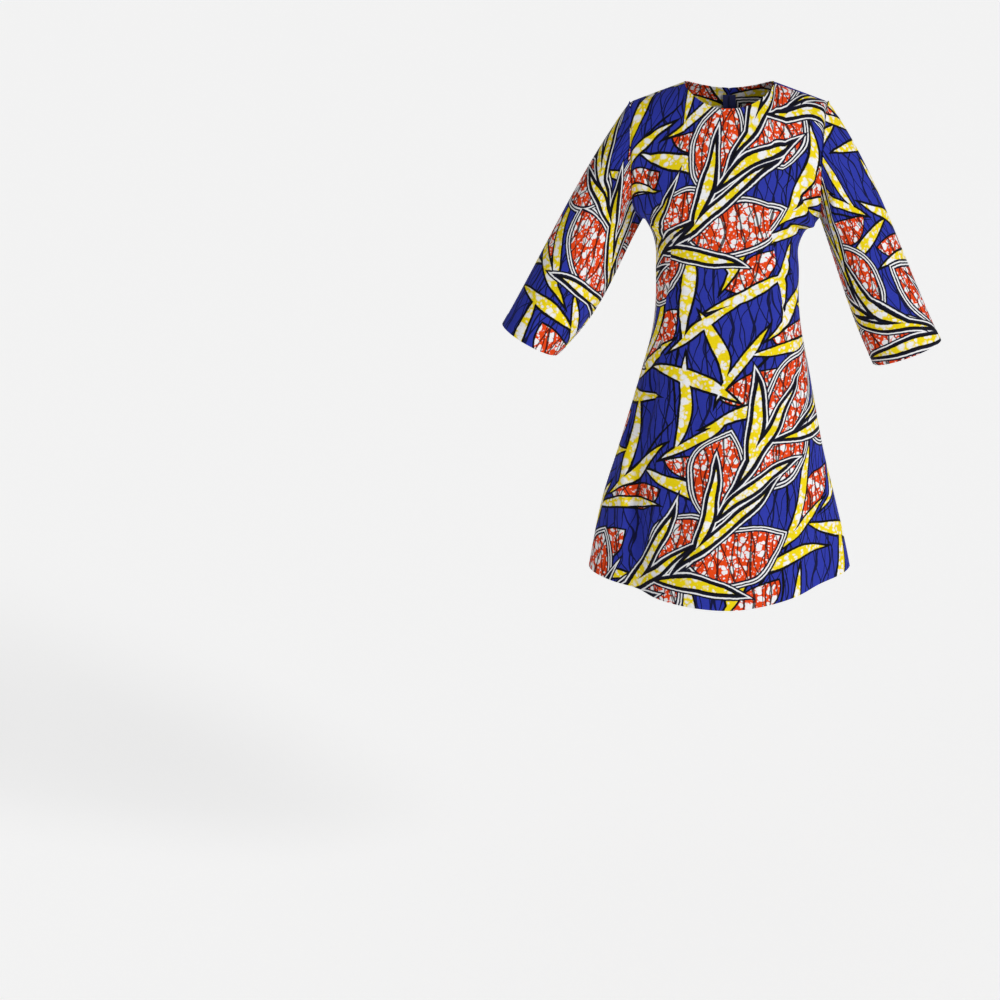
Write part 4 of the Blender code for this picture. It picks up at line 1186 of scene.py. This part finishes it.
def build_slider():
    """The slider: a rounded plate, a cheek to each side of the tab's eye, and the bar that carries it."""
    plate_middle = SLIDER_OFF_CLOTH + SLIDER_SIZE[1] / 2
    rounded_block(SLIDER_SIZE, (0, plate_middle, 0), SLIDER_ROUNDING)
    for side in (-1, 1):
        rounded_block(CHEEK_SIZE, (side * CHEEK_OUT, plate_middle + CHEEK_SIZE[1] / 2, 0), CHEEK_ROUNDING)
    bpy.ops.mesh.select_all(action="DESELECT")
    bpy.ops.mesh.primitive_cylinder_add(
        vertices=BAR_SIDES,
        radius=BAR_RADIUS,
        depth=2 * CHEEK_OUT,
        location=(0, BAR_HEIGHT, 0),
        rotation=(0, math.pi / 2, 0),
    )


def build_tab():
    """The pull tab: a flat tongue with a round end, narrower at the top, and its eye round the bar."""
    bpy.ops.mesh.primitive_cylinder_add(
        vertices=TAB_END_SIDES,
        radius=TAB_END_RADIUS,
        depth=TAB_THICKNESS,
        location=(0, 0, -TAB_LENGTH),
        rotation=(math.pi / 2, 0, 0),
    )
    bpy.ops.mesh.select_all(action="DESELECT")
    bpy.ops.object.mode_set(mode="OBJECT")
    for vertex in bpy.context.object.data.vertices:
        vertex.select = vertex.co.z > -TAB_LENGTH + MERGE
    bpy.ops.object.mode_set(mode="EDIT")
    flatter = (TAB_TAPER, 1, TAB_TOP_FLATNESS)
    bpy.ops.transform.resize(value=flatter, center_override=(0, 0, -TAB_LENGTH))
    bpy.ops.transform.translate(value=(0, 0, TAB_LENGTH - EYE_RADIUS + EYE_WALL / 2))
    bpy.ops.mesh.select_all(action="SELECT")
    bpy.ops.mesh.remove_doubles(threshold=MERGE)
    bpy.ops.mesh.select_all(action="DESELECT")
    bpy.ops.mesh.primitive_cylinder_add(
        vertices=EYE_SIDES,
        radius=EYE_RADIUS,
        depth=EYE_WIDTH,
        end_fill_type="NOTHING",
        rotation=(0, math.pi / 2, 0),
    )
    bpy.ops.mesh.solidify(thickness=EYE_WALL)


def centre_back():
    """Points down the centre back from the neck, the outward direction at each, and the run to each."""
    grid = relaxed(back_grid(1, "back_left")[0], PANEL_EASING)
    line = grid[::-1, -1].copy()
    normals = normals_of(grid)[::-1, -1].copy()
    line[:, 0] = 0.0
    normals[:, 0] = 0.0
    run = np.concatenate([[0.0], np.cumsum(np.linalg.norm(np.diff(line, axis=0), axis=1))])
    return line, unit(normals), run


def make_coil(surface):
    """The zip's closed coil, moulded nylon wire wound flat, up the inside of the centre back."""
    line, normals, run = centre_back()
    count = int(COIL_LENGTH / COIL_PITCH * COIL_STEPS)
    at = COIL_TOP + np.arange(count + 1) * COIL_PITCH / COIL_STEPS
    middle = np.stack([np.interp(at, run, line[:, k]) for k in range(3)], axis=1)
    out = unit(np.stack([np.interp(at, run, normals[:, k]) for k in range(3)], axis=1))
    turn = 2 * math.pi * np.arange(count + 1) / COIL_STEPS
    points = middle + out * (COIL_HALF_HEIGHT * np.cos(turn) - COIL_DEPTH)[:, None]
    points[:, 0] += COIL_HALF_WIDTH * np.sin(turn)
    curve = bpy.data.curves.new("zip_coil", "CURVE")
    curve.dimensions = "3D"
    curve.bevel_depth = COIL_WIRE
    curve.bevel_resolution = 1
    curve.use_fill_caps = True
    spline = curve.splines.new("POLY")
    spline.points.add(len(points) - 1)
    spline.points.foreach_set("co", np.concatenate([points, np.ones((len(points), 1))], axis=1).ravel())
    made = bpy.data.objects.new("zip_coil", curve)
    bpy.context.scene.collection.objects.link(made)
    curve.materials.append(surface)
    bpy.ops.object.select_all(action="DESELECT")
    made.select_set(True)
    bpy.context.view_layer.objects.active = made
    bpy.ops.object.convert(target="MESH")
    return bpy.context.object


class DRESS_OT_zip(bpy.types.Operator):
    """Make the zip's slider, pull tab and coil, and finish its tape"""

    bl_idname = "dress.make_zip"
    bl_label = "Zip"

    def execute(self, context):
        # Die-cast zinc dipped in navy lacquer: an even dark colour and soft gloss, with faint ripples
        metal = zip_material(FINISHES["metal"])
        # Nylon wire, drawn and dyed: smooth and slightly waxy, a little darker here and there
        nylon = zip_material(FINISHES["nylon"])
        # Polyester tape woven in a herringbone and dyed navy: fine ribs with a dull sheen of threads
        tape = zip_material(FINISHES["tape"], herringbone)
        tape.node_tree.nodes["Principled BSDF"].inputs["Sheen Weight"].default_value = TAPE_SHEEN
        slider = new_piece("zip_slider_body", build_slider, SLIDER_PLACE, metal)
        tab = new_piece("zip_pull_tab", build_tab, HINGE_PLACE, metal)
        coil = make_coil(nylon)
        for made, node, body, slot in (
            (slider, "zip_slider", "dress", "zip_metal"),
            (tab, "zip_pull", "zip_pull", "zip_metal"),
            (coil, None, "dress", "zip_tape"),
        ):
            if node:
                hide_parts(node)
            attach(made, body)
        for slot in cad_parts["zip_tape"].material_slots:
            slot.material = tape
        return {"FINISHED"}


class DRESS_OT_studio(bpy.types.Operator):
    """Make the floor, the lights and the camera"""

    bl_idname = "dress.make_studio"
    bl_label = "Studio"

    def execute(self, context):
        studio = context.scene.dress_studio
        bpy.ops.object.select_all(action="DESELECT")
        place_camera()
        place_floor(studio.floor_height)
        place_light("key", KEY_DIRECTION, studio.key_strength, KEY_SOFTNESS)
        place_light("fill", FILL_DIRECTION, studio.fill_strength, FILL_SOFTNESS)
        world = bpy.data.worlds.new("studio")
        context.scene.world = world
        world.use_nodes = True
        world.node_tree.nodes["Background"].inputs["Color"].default_value = linear("#FFFFFF")
        # The camera sees the paper backdrop at full white; the dress gets only the room's light from it
        seen = add(world.node_tree, "ShaderNodeLightPath")
        levels = {0: seen, 3: studio.room_light, 4: BACKDROP_LEVEL}
        level = add(world.node_tree, "ShaderNodeMapRange", levels)
        world.node_tree.links.new(level, world.node_tree.nodes["Background"].inputs["Strength"])
        context.scene.view_settings.view_transform = "Standard"
        return {"FINISHED"}


# The photograph's view: its scale at the dress, where the origin falls in it, and the camera's height
PHOTO_SIZE = 1000
PIXEL = 0.00185
ORIGIN_PIXEL = (729.3, 82.5)
CAMERA_DISTANCE = 7.5
CAMERA_ELEVATION = 8.5
AIM_HEIGHT = -0.47
SENSOR = 36.0
FLOOR_SIDES = 96
FLOOR_RADIUS = 30
FLOOR_ROUGHNESS = 0.9
FLOOR_GLOW = 0.38
BACKDROP_LEVEL = 0.90

# Where the two lights stand, from the dress, and how wide they are in degrees
KEY_DIRECTION = (3.8, -3.1, 2.0)
KEY_SOFTNESS = 26
FILL_DIRECTION = (-2.6, -3.4, 1.6)
FILL_SOFTNESS = 50


def place_camera():
    """The photograph's camera: a long lens, slightly above the dress, shifted to its place in the frame."""
    data = bpy.data.cameras.new("camera")
    camera = bpy.data.objects.new("camera", data)
    bpy.context.scene.collection.objects.link(camera)
    place = Vector((0.0, -CAMERA_DISTANCE, CAMERA_DISTANCE * math.tan(math.radians(CAMERA_ELEVATION))))
    aim = Vector((0.0, 0.0, AIM_HEIGHT)) - place
    camera.location = place
    camera.rotation_euler = aim.to_track_quat("-Z", "Y").to_euler()
    focal_pixels = place.length / PIXEL
    data.sensor_fit = "HORIZONTAL"
    data.sensor_width = SENSOR
    data.lens = focal_pixels * SENSOR / PHOTO_SIZE
    data.clip_end = 100.0
    turned = camera.rotation_euler.to_matrix().transposed() @ -place
    x = turned.x / -turned.z * focal_pixels
    y = turned.y / -turned.z * focal_pixels
    data.shift_x = (PHOTO_SIZE / 2 + x - ORIGIN_PIXEL[0]) / PHOTO_SIZE
    data.shift_y = (ORIGIN_PIXEL[1] + y - PHOTO_SIZE / 2) / PHOTO_SIZE
    bpy.context.scene.camera = camera


def place_floor(height):
    """A wide floor of matte paper: pale and even, with no reflections."""
    bpy.ops.mesh.primitive_circle_add(
        vertices=FLOOR_SIDES, radius=FLOOR_RADIUS, fill_type="NGON", location=(0, 0, height)
    )
    floor = bpy.context.object
    floor.name = "floor"
    made = bpy.data.materials.new("matte_paper_floor")
    made.use_nodes = True
    shader = made.node_tree.nodes["Principled BSDF"]
    shader.inputs["Base Color"].default_value = linear("#F4F4F4")
    shader.inputs["Roughness"].default_value = FLOOR_ROUGHNESS
    shader.inputs["Emission Color"].default_value = linear("#FFFFFF")
    shader.inputs["Emission Strength"].default_value = FLOOR_GLOW
    floor.data.materials.append(made)


def place_light(name, direction, strength, softness):
    """A wide soft light that shines on the dress and the floor from a direction."""
    data = bpy.data.lights.new(name, "SUN")
    data.energy = strength
    data.angle = math.radians(softness)
    light = bpy.data.objects.new(name, data)
    bpy.context.scene.collection.objects.link(light)
    light.location = direction
    light.rotation_euler = (-Vector(direction)).to_track_quat("-Z", "Y").to_euler()


class DRESS_PT_panel(bpy.types.Panel):
    """The dress's pieces"""

    bl_idname = "DRESS_PT_panel"
    bl_label = "Wax print dress"
    bl_space_type = "VIEW_3D"
    bl_region_type = "UI"
    bl_category = "Dress"

    def draw(self, context):
        for operator in OPERATORS:
            self.layout.operator(operator.bl_idname)
        for group in ("dress_cloth", "dress_print", "dress_studio"):
            settings = getattr(context.scene, group)
            column = self.layout.column()
            for name in settings.__annotations__:
                column.prop(settings, name)


OPERATORS = (DRESS_OT_studio, DRESS_OT_front, DRESS_OT_backs, DRESS_OT_sleeves, DRESS_OT_zip)
SETTINGS = (
    ("dress_cloth", ClothSettings),
    ("dress_print", PrintSettings),
    ("dress_studio", StudioSettings),
)


def register():
    """Register the settings, the operators and the panel."""
    for name, group in SETTINGS:
        bpy.utils.register_class(group)
        setattr(bpy.types.Scene, name, bpy.props.PointerProperty(type=group))
    for operator in OPERATORS:
        bpy.utils.register_class(operator)
    bpy.utils.register_class(DRESS_PT_panel)


def unregister():
    """Undo register."""
    bpy.utils.unregister_class(DRESS_PT_panel)
    for operator in reversed(OPERATORS):
        bpy.utils.unregister_class(operator)
    for name, group in reversed(SETTINGS):
        delattr(bpy.types.Scene, name)
        bpy.utils.unregister_class(group)


def main():
    """Make every piece in order."""
    register()
    bpy.ops.dress.make_studio()
    bpy.ops.dress.make_front()
    bpy.ops.dress.make_backs()
    bpy.ops.dress.make_sleeves()
    bpy.ops.dress.make_zip()


if __name__ == "__main__":
    main()
